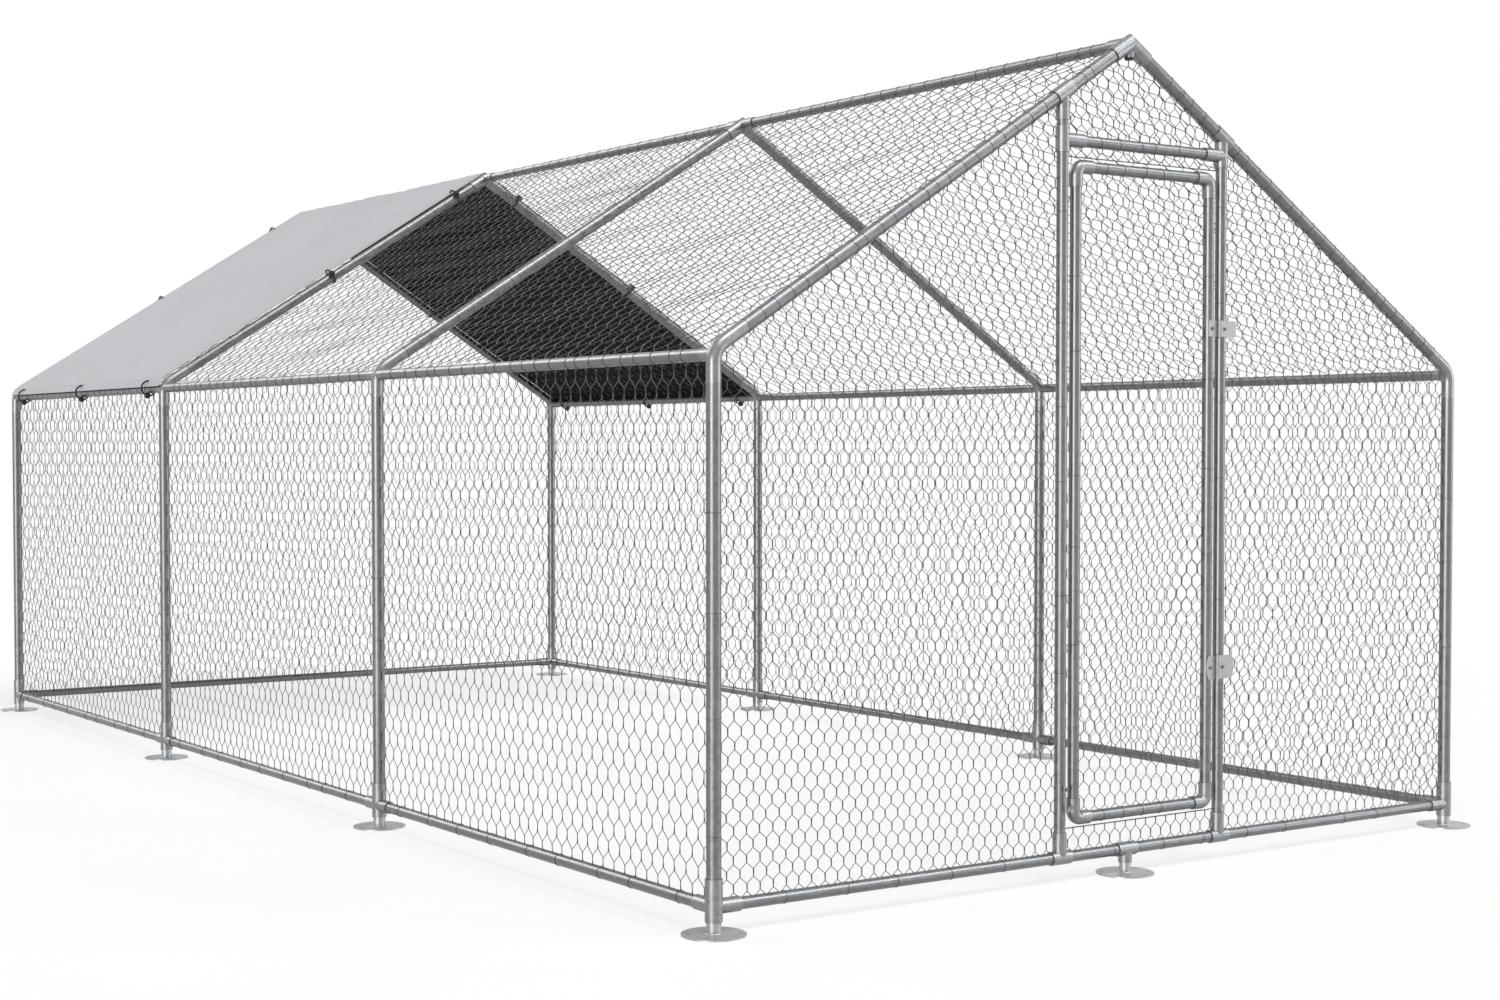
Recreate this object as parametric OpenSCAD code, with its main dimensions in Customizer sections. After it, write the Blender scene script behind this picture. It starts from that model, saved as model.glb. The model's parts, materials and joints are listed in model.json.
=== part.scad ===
// Walk-in poultry run: four tube hoops with a gable roof, wire netting, a hinged door and a rear shade.
// Millimetres. +Z is up, X runs across, Y runs along, and the door end faces -Y.

/* [Run] */
// Width between the left and right post axes
run_w = 2800; // [2200:10:3600]
// Length of one bay, between two hoop planes
bay_len = 1900; // [1400:10:2400]
// Height of the ridge axis
ridge_z = 2330; // [2250:5:2600]
// Height at which the post and rafter axes cross
corner_z = 1443; // [1300:1:1550]
// Height of the base tube axis
base_z = 70; // [62:1:100]

/* [Tubes] */
// Outer diameter of posts and rafters
hoop_d = 38; // [34:1:42]
// Outer diameter of rails, jambs and door tubes
rail_d = 32; // [28:1:34]
// Wall of every tube
tube_wall = 1.3; // [1:0.1:1.8]
// Radial gap where a tube fits a sleeve or a spigot
slip = 0.25; // [0.15:0.05:0.35]
// Wall of a fitting's sleeve
sleeve_wall = 3.2; // [2:0.1:3.6]
// Wall of a fitting's spigot
spigot_wall = 2; // [1.2:0.1:3]
// Length of a spigot inside its tube
spigot_len = 45; // [25:1:70]
// Gap between the end of a tube and what it butts against
seam = 0.4; // [0.2:0.1:1]

/* [Fittings] */
// Centre-line radius of the eave bend
bend_r = 60; // [50:1:75]
// Straight leg of the eave bend on the post side
bend_leg_post = 50; // [30:1:80]
// Straight leg of the eave bend on the rafter side
bend_leg_rafter = 80; // [40:1:110]
// Angle round the eave bend at which the eave tube leaves it
rail_turn = 20; // [16:1:24]
// Reach of the eave bend's side arm from the hoop plane
bend_arm = 50; // [34:1:80]
// Length of the ridge elbow's sleeves
ridge_arm = 75; // [60:1:110]
// Reach of every horizontal socket from its fitting's centre
socket_reach = 75; // [60:1:110]
// Reach of the base fitting's upper sleeve above the base axis
base_up = 70; // [50:1:110]
// Reach of the base fitting's lower sleeve below the base axis
base_down = 38; // [30:1:50]
// Distance from a fitting's centre to the bottom of its sockets
socket_stop = 23; // [22:0.5:30]
// Length of a tee's sleeve along the tube that runs through it
tee_len = 70; // [50:1:100]

/* [Feet] */
// Diameter of a foot plate
foot_d = 164; // [120:2:200]
// Thickness of a foot plate
foot_t = 4; // [3:0.5:6]
// Diameter of the circle through the two stake holes
stake_pcd = 130; // [100:2:140]
// Diameter of a stake hole
stake_hole_d = 9; // [6:0.5:12]
// Turn of the stake holes about the post
stake_turn = -30; // [-90:5:90]

/* [Door] */
// Position of the left jamb axis
jamb_left_x = -250; // [-300:5:-200]
// Position of the right jamb axis
jamb_right_x = 370; // [300:5:400]
// Gap between the left jamb's top tee and the lintel's tee
lintel_gap = 18; // [16:1:40]
// Distance from a jamb axis to the stile axis beside it
door_side_gap = 50; // [46:1:60]
// Distance from the lintel axis to the door's top rail axis
door_top_gap = 70; // [60:1:100]
// Height of the door's bottom rail axis
door_bottom_z = 175; // [160:1:220]
// Centre-line radius of the door's corner elbows
door_bend_r = 24; // [22:1:40]
// Length of an elbow's straight socket
door_socket = 32; // [20:1:60]

/* [Hinges and hook] */
// Height of the lower hinge's centre above the door's bottom rail axis
hinge_rise = 390; // [200:5:600]
// Drop of the upper hinge's centre below the door's top rail axis
hinge_drop = 430; // [200:5:600]
// Heights of the two hinges
hinge_h = [68, 46]; // [40:1:90]
// Width of the jamb leaf from the hinge axis
jamb_leaf_w = 70; // [44:1:80]
// Width of the door leaf from the hinge axis
door_leaf_w = 42; // [38:1:55]
// Thickness of a hinge leaf
leaf_t = 2.5; // [2:0.1:3]
// Outer radius of the hinge knuckle
knuckle_r = 6.5; // [5.5:0.1:8]
// Radius of the hinge pin
pin_r = 3; // [2.5:0.1:3.5]
// Radial running fit of the pin and of the hook's screw
pin_fit = 0.05; // [0.02:0.01:0.1]
// Distance of the hinge axis in front of the tube's face
knuckle_out = 6; // [5:0.1:7]
// Radius of the leaf bolts' shanks
bolt_r = 2.5; // [2:0.1:3]
// Radius of the leaf bolts' heads
bolt_head_r = 5; // [4:0.1:6]
// Height of the bolt heads
bolt_head_h = 3; // [2:0.1:3]
// Height of the door hook's pivot
hook_z = 262; // [240:1:1600]
// Length of the door hook from its pivot to its tip
hook_len = 62; // [56:1:90]
// Radius of the hook's wire
hook_wire_r = 2.5; // [2:0.1:3]
// Length of the hook's turned tip
hook_tip = 15; // [10:0.5:20]

/* [Netting] */
// Thickness of the netting
net_t = 2; // [1:0.1:3]
// Width of the wires between the meshes
net_web = 4; // [3:0.5:8]
// Centre-to-corner size of a mesh
net_mesh_r = 150; // [120:5:220]
// Width of the selvedge round a panel
net_border = 8; // [5:0.5:15]
// Gap between a panel and the fittings it sits between
net_gap = 0.3; // [0.2:0.1:0.6]
// Gap between the door and the fixed strips above and below it
strip_gap = 6; // [4:1:15]

/* [Shade] */
// Thickness of the tarpaulin
tarp_t = 1.2; // [0.8:0.1:2]
// Gap between the tarpaulin and the ridge sleeves
tarp_lift = 0.5; // [0.3:0.1:1]
// Distance of the front edge behind the third hoop's plane
tarp_front = 2; // [0:0.5:6]
// Distance of the rear edge behind the rear hoop's plane
tarp_rear = 8; // [4:0.5:10]
// Radius of a tie's loop
tie_r = 29; // [28:0.5:31]
// Radius of a tie's cord
tie_cord_r = 3.4; // [2:0.1:3.6]
// Radius of a tie's ball
tie_ball_r = 12; // [9:0.5:12]
// Radius of the eyelet holes in the tarpaulin
eyelet_r = 7.5; // [6.5:0.5:8]
// Gap between a tie's loop and its tube
tie_seat = 0.3; // [0.2:0.1:0.5]

/* [Hidden] */
$fn = 48;
hoop_count = 4;
bay_count = hoop_count - 1;
hoop_r = hoop_d / 2;
rail_r = rail_d / 2;
hoop_bore = hoop_r - tube_wall;
rail_bore = rail_r - tube_wall;
hoop_sleeve = hoop_r + slip + sleeve_wall;
rail_sleeve = rail_r + slip + sleeve_wall;
hoop_spigot = hoop_bore - slip;
rail_spigot = rail_bore - slip;
cut = 1;
side_x = run_w / 2;
front_y = hoop_y(0);
rear_y = hoop_y(hoop_count - 1);
pitch = atan2(ridge_z - corner_z, side_x);
turn = 90 - pitch;
bend_tan = bend_r * tan(turn / 2);
rafter_len = norm([side_x, ridge_z - corner_z]);
rafter_start = bend_tan + bend_leg_rafter;
post_top = corner_z - bend_tan - bend_leg_post;
// Eave tube axis, inward of the post axis and below the corner
eave_in = bend_r * (1 - cos(rail_turn));
eave_drop = bend_tan - bend_r * sin(rail_turn);
eave_x = side_x - eave_in;
eave_z = corner_z - eave_drop;
bend_core_len = 8;
ridge_stop = 25;
jamb_stop = hoop_r / cos(pitch) + rail_r * tan(pitch) + seam;
jamb_hold = 41;
jamb_arm = jamb_stop + jamb_hold;
bend_arm_core = hoop_r + 5;
bend_core_r = (hoop_r + hoop_spigot - spigot_wall) / 2;
half_space = 2 * (ridge_arm + hoop_d);
lintel_z = rafter_z(jamb_left_x) - jamb_arm - lintel_gap - tee_len / 2;
ridge_boss_r = 14;
ridge_boss_len = 40;
plug_r = 10;
plug_depth = 9;
plug_head_r = 13;
plug_head_h = 6;
stile_left_x = jamb_left_x + door_side_gap;
stile_right_x = jamb_right_x - door_side_gap;
door_top_z = lintel_z - door_top_gap;
hinge_z = [door_bottom_z + hinge_rise, door_top_z - hinge_drop];
hinge_x = jamb_right_x - door_side_gap / 2;
hinge_y = front_y - rail_r - knuckle_out;
leaf_seat = 0.2;
leaf_back = front_y - rail_r - leaf_seat;
knuckle_gap = 0.3;
pin_head_step = 1;
pin_head_r = knuckle_r - pin_head_step;
pin_head_h = 2.5;
leaf_clear = 1.5;
bolt_end = 4;
bolt_len = leaf_t + leaf_seat + tube_wall + bolt_end;
hook_gap = 0.8;
hook_eye_r = 3 * hook_wire_r;
hook_eye_t = 1.5 * hook_wire_r;
hook_bead_r = hook_wire_r + hook_gap;
hook_y = front_y - rail_sleeve - hook_gap - hook_bead_r;
hook_screw_len = rail_sleeve - rail_r + 2 * (hook_gap + hook_bead_r) + tube_wall + bolt_end;
tie_places = [0.08, 0.5, 0.92];
rafter_tie_places = [0.5, 0.9];
tarp_inner_n = hoop_sleeve + tarp_lift;
tarp_mid_n = tarp_inner_n + tarp_t / 2;
bend_centre = [-side_x + bend_r, corner_z - bend_tan];
// A tie's loop is shifted off its tube's axis until it bears on the tube's far side
rail_tie_shift = tie_r - tie_cord_r - rail_r - tie_seat;
hoop_tie_shift = tie_r - tie_cord_r - hoop_r - tie_seat;
// Angle about the bend's centre between the eave tie's loop centre and its eyelet
loop_out = bend_r + rail_tie_shift;
tarp_mid_r = bend_r + tarp_mid_n;
tie_swing_cos = (tarp_mid_r * tarp_mid_r + loop_out * loop_out - tie_r * tie_r) / (2 * tarp_mid_r * loop_out);
tie_swing = acos(tie_swing_cos);
// Distance from a rafter's axis, along Y, at which its tie passes the tarpaulin
tie_side = sqrt(tie_r * tie_r - pow(tarp_mid_n - hoop_tie_shift, 2));
rail_ball_turn = 100;
hoop_ball_turn = 68;
tie_space = 3;
tie_clear = tie_r + tie_cord_r + tie_space;
strip_mesh_r = 24;
net_low = base_z + rail_sleeve + net_gap;
net_side = hoop_sleeve + net_gap;
net_beside_jamb = rail_sleeve + net_gap;
// The rear panel also clears the ties round the rear rafters
net_rear_side = max(net_side, hoop_r + tie_seat + 2 * tie_cord_r + net_gap);
// The door's panel has its corners just inside the corner elbows
door_net_side = door_bend_r - (door_bend_r - rail_sleeve - net_gap) / sqrt(2);
net_apex = ridge_z - ridge_boss_len - plug_head_h - net_gap;
bend_edge_turns = [turn, 2 * turn / 3, turn / 3, 0];
tarp_facets = 4;
tarp_arc = [for (k = [0:tarp_facets]) rail_turn + (turn - rail_turn) * k / tarp_facets];
tarp_from = hoop_y(hoop_count - 2) + tarp_front;
tarp_to = rear_y + tarp_rear;
steel = "#aab0b4";
wire = "#9da3a6";
black = "#1c1c1e";
silver = "#d7d5da";

function hoop_y(i) = (i - (hoop_count - 1) / 2) * bay_len;
function rafter_z(x) = ridge_z - abs(x) * tan(pitch);
function about_bend(r, a) = bend_centre + r * [-cos(a), sin(a)];
function flip(p) = [-p[0], p[1]];
function reversed(v) = [for (k = [len(v) - 1:-1:0]) v[k]];
function unit(v) = v / norm(v);
function inner_normal(a, b) = unit([a[1] - b[1], b[0] - a[0]]);

// Corner i of a convex outline, moved inwards by m from both of its edges
function inset_point(pts, i, m) =
    let (n = len(pts),
         before = inner_normal(pts[(i + n - 1) % n], pts[i]),
         after = inner_normal(pts[i], pts[(i + 1) % n]))
    pts[i] + m * (before + after) / (1 + before * after);
function inset(pts, m) = [for (i = [0:len(pts) - 1]) inset_point(pts, i, m)];

module ring(outer, inner) {
    difference() {
        circle(outer);
        circle(inner);
    }
}
module pipe(length, outer, inner) { linear_extrude(length) ring(outer, inner); }
module to_y() { rotate([-90, 0, 0]) children(); }
module to_x() { rotate([0, 90, 0]) children(); }
// Runs the part's +Z along the left rafter, from the eave corner to the ridge
module up_rafter() { rotate([0, turn, 0]) children(); }
module at_left_corner(i) { translate([-side_x, hoop_y(i), corner_z]) children(); }
module on_side(side) { mirror([side > 0 ? 1 : 0, 0, 0]) children(); }

// Posts and rafters
module post(side, i) {
    bottom = base_z + socket_stop + seam;
    color(steel) translate([side * side_x, hoop_y(i), bottom])
        pipe(post_top - seam - bottom, hoop_r, hoop_bore);
}
module rafter(side, i) {
    color(steel) on_side(side) at_left_corner(i) up_rafter() translate([0, 0, rafter_start + seam])
        pipe(rafter_len - ridge_stop - rafter_start - 2 * seam, hoop_r, hoop_bore);
}

// Eave bends, flush with the tubes, with spigots inside them
module spigot_leg(length, outer, spigot) {
    pipe(length, outer, spigot - spigot_wall);
    translate([0, 0, length]) pipe(spigot_len, spigot, spigot - spigot_wall);
}
module bend_side_arm() {
    cylinder(h = bend_arm_core, r = rail_r);
    translate([0, 0, bend_arm_core]) spigot_leg(bend_arm - bend_arm_core, rail_r, rail_spigot);
}
// Core across the seam between the bend and a leg
module bend_core() {
    translate([0, 0, -bend_core_len]) cylinder(h = 2 * bend_core_len, r = bend_core_r);
}
module eave_bend(i) {
    at_left_corner(i) {
        translate([0, 0, -bend_tan]) bend_core();
        up_rafter() translate([0, 0, bend_tan]) bend_core();
        translate([0, 0, -bend_tan]) mirror([0, 0, 1]) spigot_leg(bend_leg_post, hoop_r, hoop_spigot);
        translate([bend_r, 0, -bend_tan]) rotate([90, 0, 180])
            rotate_extrude(angle = turn) translate([bend_r, 0]) circle(hoop_r);
        up_rafter() translate([0, 0, bend_tan]) spigot_leg(bend_leg_rafter, hoop_r, hoop_spigot);
        translate([eave_in, 0, -eave_drop]) {
            if (i > 0) mirror([0, 1, 0]) to_y() bend_side_arm();
            if (i < hoop_count - 1) to_y() bend_side_arm();
        }
    }
}
module eave_bends(side) { color(steel) for (i = [0:hoop_count - 1]) on_side(side) eave_bend(i); }

// Ridge elbows with sleeves for the rafters and sockets for the ridge tubes
module ridge_half(outer, from, to) {
    rotate([0, -90 - pitch, 0]) translate([0, 0, from]) cylinder(h = to - from, r = outer);
}
module ridge_sleeve() {
    intersection() {
        ridge_half(hoop_sleeve, -hoop_sleeve, ridge_arm);
        translate([-half_space, -half_space / 2, -half_space / 2]) cube(half_space);
    }
}
module ridge_bend(i) {
    end_hoop = i == 0 || i == hoop_count - 1;
    translate([0, hoop_y(i), ridge_z]) difference() {
        union() {
            ridge_sleeve();
            mirror([1, 0, 0]) ridge_sleeve();
            if (i > 0) mirror([0, 1, 0]) to_y() cylinder(h = socket_reach, r = rail_sleeve);
            if (i < hoop_count - 1) to_y() cylinder(h = socket_reach, r = rail_sleeve);
            if (end_hoop) translate([0, 0, -ridge_boss_len]) cylinder(h = ridge_boss_len, r = ridge_boss_r);
        }
        for (s = [-1, 1]) on_side(s) ridge_half(hoop_r + slip, ridge_stop, ridge_arm + cut);
        if (i > 0) mirror([0, 1, 0]) to_y() socket_bore(socket_reach);
        if (i < hoop_count - 1) to_y() socket_bore(socket_reach);
        if (end_hoop) translate([0, 0, -ridge_boss_len - cut])
            cylinder(h = plug_depth + cut + seam, r = plug_r + slip);
    }
}
module socket_bore(reach, stop = socket_stop, bore = rail_r + slip) {
    translate([0, 0, stop]) cylinder(h = reach - stop + cut, r = bore);
}
module ridge_bends() { color(steel) for (i = [0:hoop_count - 1]) ridge_bend(i); }
module ridge_plugs() {
    color(black) for (i = [0, hoop_count - 1]) translate([0, hoop_y(i), ridge_z - ridge_boss_len]) {
        cylinder(h = plug_depth, r = plug_r);
        translate([0, 0, -plug_head_h]) cylinder(h = plug_head_h, r = plug_head_r);
    }
}

// Tubes along the run
module bay_tube(bay, ends) {
    length = bay_len - 2 * (ends + seam);
    translate([0, hoop_y(bay) + ends + seam, 0]) to_y() pipe(length, rail_r, rail_bore);
}
module ridge_tubes() {
    color(steel) for (b = [0:bay_count - 1]) translate([0, 0, ridge_z]) bay_tube(b, socket_stop);
}
module eave_tubes(side) {
    color(steel) for (b = [0:bay_count - 1]) translate([side * eave_x, 0, eave_z]) bay_tube(b, bend_arm);
}
module base_tubes(side) {
    color(steel) for (b = [0:bay_count - 1]) translate([side * side_x, 0, base_z]) bay_tube(b, socket_stop);
}
module cross_tube(y) {
    reach = side_x - socket_stop - seam;
    color(steel) translate([-reach, y, base_z]) to_x() pipe(2 * reach, rail_r, rail_bore);
}

// Base fittings: a sleeve for the post, one for the foot and sockets for the base tubes
module base_fitting(side, i) {
    corner = i == 0 || i == hoop_count - 1;
    translate([side * side_x, hoop_y(i), base_z]) on_side(side) difference() {
        union() {
            translate([0, 0, -base_down]) cylinder(h = base_up + base_down, r = hoop_sleeve);
            if (i > 0) mirror([0, 1, 0]) to_y() cylinder(h = socket_reach, r = rail_sleeve);
            if (i < hoop_count - 1) to_y() cylinder(h = socket_reach, r = rail_sleeve);
            if (corner) to_x() cylinder(h = socket_reach, r = rail_sleeve);
        }
        socket_bore(base_up, bore = hoop_r + slip);
        mirror([0, 0, 1]) socket_bore(base_down, bore = hoop_r + slip);
        if (i > 0) mirror([0, 1, 0]) to_y() socket_bore(socket_reach);
        if (i < hoop_count - 1) to_y() socket_bore(socket_reach);
        if (corner) to_x() socket_bore(socket_reach);
    }
}
module base_corner_fittings() {
    color(steel) for (s = [-1, 1], i = [0, hoop_count - 1]) base_fitting(s, i);
}
module base_side_tees() { color(steel) for (s = [-1, 1], i = [1:hoop_count - 2]) base_fitting(s, i); }

// Feet: a round plate with two stake holes and a stub
module foot(stub_r, top) {
    difference() {
        cylinder(h = foot_t, d = foot_d);
        for (a = [0, 180]) rotate(stake_turn + a) translate([stake_pcd / 2, 0, -cut])
            cylinder(h = foot_t + 2 * cut, d = stake_hole_d);
    }
    translate([0, 0, foot_t]) pipe(top - foot_t, stub_r, stub_r - 2 * tube_wall);
}
module foot_plates() {
    color(steel) for (s = [-1, 1], i = [0:hoop_count - 1]) translate([s * side_x, hoop_y(i), 0])
        foot(hoop_r, base_z - socket_stop - seam);
}
module centre_foot() { color(steel) translate([0, front_y, 0]) foot(rail_r, base_z - socket_stop - seam); }

// Door frame in the front hoop
module tee(arm) {
    translate([-tee_len / 2, 0, 0]) to_x() cylinder(h = tee_len, r = rail_sleeve);
    cylinder(h = arm, r = rail_sleeve);
}
module tee_bores(arm) {
    translate([-tee_len / 2 - cut, 0, 0]) to_x() cylinder(h = tee_len + 2 * cut, r = rail_r + slip);
    socket_bore(arm);
}
module jamb_base_tees() {
    color(steel) for (x = [jamb_left_x, jamb_right_x]) translate([x, front_y, base_z]) difference() {
        tee(base_up);
        tee_bores(base_up);
    }
}
module centre_foot_tee() {
    color(steel) translate([0, front_y, base_z]) mirror([0, 0, 1]) difference() {
        tee(base_down);
        tee_bores(base_down);
    }
}
module jamb(x) {
    bottom = base_z + socket_stop + seam;
    top = rafter_z(x) - jamb_stop - seam;
    color(steel) difference() {
        translate([x, front_y, bottom]) pipe(top - bottom, rail_r, rail_bore);
        if (x == jamb_right_x) for (k = [0, 1]) leaf_bolt_hole(jamb_right_x, hinge_z[k]);
        if (x == jamb_left_x) leaf_bolt_hole(jamb_left_x, hook_z);
    }
}
module leaf_bolt_hole(x, z) {
    translate([x, front_y, z]) rotate([90, 0, 0]) cylinder(h = rail_r + leaf_t + cut, r = bolt_r + pin_fit);
}
module lintel() {
    from = jamb_left_x + socket_stop + seam;
    to = jamb_right_x - socket_stop - seam;
    color(steel) translate([from, front_y, lintel_z]) to_x() pipe(to - from, rail_r, rail_bore);
}
module rafter_sleeve(outer, length) {
    rotate([0, turn, 0]) translate([0, 0, -length / 2]) cylinder(h = length, r = outer);
}
// Tee on a front rafter over a jamb, drawn for the left slope
module jamb_top_tee(x, arm, lintel_arm) {
    side = x > 0 ? 1 : -1;
    translate([x, front_y, rafter_z(x)]) on_side(side) difference() {
        union() {
            rafter_sleeve(hoop_sleeve, tee_len);
            mirror([0, 0, 1]) cylinder(h = arm, r = rail_sleeve);
            if (lintel_arm) translate([0, 0, lintel_z - rafter_z(x)]) to_x()
                cylinder(h = socket_reach, r = rail_sleeve);
        }
        rafter_sleeve(hoop_r + slip, tee_len + 2 * hoop_sleeve);
        mirror([0, 0, 1]) socket_bore(arm, jamb_stop);
        if (lintel_arm) translate([0, 0, lintel_z - rafter_z(x)]) to_x() socket_bore(socket_reach);
    }
}
module jamb_top_tees() {
    color(steel) {
        jamb_top_tee(jamb_left_x, jamb_arm, false);
        jamb_top_tee(jamb_right_x, rafter_z(jamb_right_x) - lintel_z + tee_len / 2, true);
    }
}
module lintel_tee() {
    color(steel) translate([jamb_left_x, front_y, lintel_z]) difference() {
        union() {
            translate([0, 0, -tee_len / 2]) cylinder(h = tee_len, r = rail_sleeve);
            to_x() cylinder(h = socket_reach, r = rail_sleeve);
        }
        translate([0, 0, -tee_len / 2 - cut]) cylinder(h = tee_len + 2 * cut, r = rail_r + slip);
        to_x() socket_bore(socket_reach);
    }
}

// Door leaf
module door_stile(x) {
    bottom = door_bottom_z + door_bend_r + seam;
    color(steel) difference() {
        translate([x, front_y, bottom]) pipe(door_top_z - door_bend_r - seam - bottom, rail_r, rail_bore);
        if (x == stile_right_x) for (k = [0, 1]) leaf_bolt_hole(stile_right_x, hinge_z[k]);
    }
}
module door_rails() {
    from = stile_left_x + door_bend_r + seam;
    to = stile_right_x - door_bend_r - seam;
    color(steel) for (z = [door_bottom_z, door_top_z]) translate([from, front_y, z])
        to_x() pipe(to - from, rail_r, rail_bore);
}
module door_elbow() {
    translate([door_bend_r, 0, door_bend_r]) rotate([-90, 0, 180])
        rotate_extrude(angle = 90) translate([door_bend_r, 0]) ring(rail_sleeve, rail_bore);
    translate([0, 0, door_bend_r]) pipe(door_socket, rail_sleeve, rail_r + slip);
    translate([door_bend_r, 0, 0]) to_x() pipe(door_socket, rail_sleeve, rail_r + slip);
}
module door_elbows() {
    color(steel) for (right = [0, 1], top = [0, 1])
        translate([right ? stile_right_x : stile_left_x, front_y, top ? door_top_z : door_bottom_z])
            mirror([right, 0, 0]) mirror([0, 0, top]) door_elbow();
}

// Hinges: a leaf on the jamb with the outer knuckles, a leaf on the door with the middle one
function knuckle_cut(h) = h / 6;
module leaf_plate(width, height, round_end) {
    back = leaf_back - hinge_y;
    translate([0, back, 0]) rotate([90, 0, 0]) linear_extrude(leaf_t) if (round_end) {
        intersection() {
            translate([knuckle_r + leaf_clear, -height / 2]) square([width - knuckle_r - leaf_clear, height]);
            translate([width - height, 0]) circle(height);
        }
    } else {
        translate([knuckle_r + leaf_clear, -height / 2]) square([width - knuckle_r - leaf_clear, height]);
    }
}
module leaf_root(height) {
    back = leaf_back - hinge_y;
    translate([0, back - leaf_t, -height / 2]) cube([knuckle_r + leaf_clear + cut, leaf_t, height]);
    translate([0, 0, -height / 2]) cylinder(h = height, r = knuckle_r);
}
module leaf_holes(bolt_x) {
    translate([0, 0, -half_space / 2]) cylinder(h = half_space, r = pin_r + pin_fit);
    translate([bolt_x, 0, 0]) rotate([90, 0, 0])
        cylinder(h = half_space, r = bolt_r + pin_fit, center = true);
}
module jamb_leaf(k) {
    h = hinge_h[k];
    root = h / 2 - knuckle_cut(h) - knuckle_gap / 2;
    translate([hinge_x, hinge_y, hinge_z[k]]) difference() {
        union() {
            leaf_plate(jamb_leaf_w, h, k == 0);
            for (s = [-1, 1]) translate([0, 0, s * (h / 2 - root / 2)]) leaf_root(root);
        }
        leaf_holes(door_side_gap / 2);
        if (k == 1) translate([jamb_leaf_w - bolt_head_r, 0, 0]) rotate([90, 0, 0])
            cylinder(h = half_space, r = bolt_r, center = true);
    }
}
module door_leaf(k) {
    h = hinge_h[k];
    translate([hinge_x, hinge_y, hinge_z[k]]) mirror([1, 0, 0]) difference() {
        union() {
            leaf_plate(door_leaf_w, h, k == 0);
            leaf_root(2 * knuckle_cut(h) - knuckle_gap);
        }
        leaf_holes(door_side_gap / 2);
    }
}
module hinge_jamb_leaves() { color(steel) for (k = [0, 1]) jamb_leaf(k); }
module hinge_door_leaves() { color(steel) for (k = [0, 1]) door_leaf(k); }
module hinge_pins() {
    color(steel) for (k = [0, 1]) translate([hinge_x, hinge_y, hinge_z[k] - hinge_h[k] / 2]) {
        cylinder(h = hinge_h[k], r = pin_r);
        for (z = [-pin_head_h, hinge_h[k]]) translate([0, 0, z]) cylinder(h = pin_head_h, r = pin_head_r);
    }
}
module leaf_bolt(x, z) {
    translate([x, leaf_back - leaf_t, z]) rotate([-90, 0, 0]) {
        cylinder(h = bolt_len, r = bolt_r);
        translate([0, 0, -bolt_head_h]) cylinder(h = bolt_head_h, r = bolt_head_r, $fn = 6);
    }
}
module jamb_bolts() {
    color(steel) {
        for (k = [0, 1]) leaf_bolt(jamb_right_x, hinge_z[k]);
        hook_screw();
    }
}
module door_bolts() { color(steel) for (k = [0, 1]) leaf_bolt(stile_right_x, hinge_z[k]); }

// Wire hook on the left jamb: it hangs at rest and swings up in front of the door's stile
module door_hook() {
    color(steel) translate([jamb_left_x, hook_y, hook_z]) {
        difference() {
            union() {
                rotate([90, 0, 0]) cylinder(h = hook_eye_t, r = hook_eye_r, center = true);
                translate([0, 0, -hook_len]) cylinder(h = hook_len, r = hook_wire_r);
            }
            rotate([90, 0, 0]) cylinder(h = 4 * hook_wire_r, r = bolt_r + pin_fit, center = true);
        }
        translate([0, 0, -hook_len]) {
            sphere(hook_bead_r);
            to_x() cylinder(h = hook_tip, r = hook_wire_r);
        }
    }
}
module hook_screw() {
    front = hook_y - hook_bead_r - hook_gap;
    translate([jamb_left_x, front, hook_z]) rotate([-90, 0, 0]) {
        cylinder(h = hook_screw_len, r = bolt_r);
        translate([0, 0, -bolt_head_h]) cylinder(h = bolt_head_h, r = bolt_head_r, $fn = 6);
    }
}

// Netting: flat panels of hexagonal meshes with a selvedge
module meshes(pts, mesh_r) {
    low = [min([for (p = pts) p[0]]), min([for (p = pts) p[1]])];
    high = [max([for (p = pts) p[0]]), max([for (p = pts) p[1]])];
    step = [sqrt(3) * mesh_r + net_web, 1.5 * mesh_r + net_web * sqrt(3) / 2];
    columns = ceil((high[0] - low[0]) / step[0]) + 1;
    rows = ceil((high[1] - low[1]) / step[1]) + 1;
    for (row = [0:rows], column = [0:columns])
        translate(low + [(column - (row % 2) / 2) * step[0], row * step[1]]) rotate(30)
            circle(mesh_r, $fn = 6);
}
module net_panel(pts, mesh_r = net_mesh_r) {
    linear_extrude(net_t, center = true) difference() {
        polygon(pts);
        intersection() {
            polygon(inset(pts, net_border));
            meshes(pts, mesh_r);
        }
    }
}
module net_rectangle(low, high, mesh_r = net_mesh_r) {
    net_panel([low, [high[0], low[1]], high, [low[0], high[1]]], mesh_r);
}
module in_gable(y) { translate([0, y, 0]) rotate([90, 0, 0]) children(); }
function slope_net_z(x) = rafter_z(x) - net_side / cos(pitch);
function gable_top(side) = ridge_z - side / cos(pitch);
// The netting's edge follows the inside of the eave bend
function bend_edge(side) = [for (a = bend_edge_turns) about_bend(bend_r - side, a)];
function shaded(b) = b == bay_count - 1;

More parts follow.
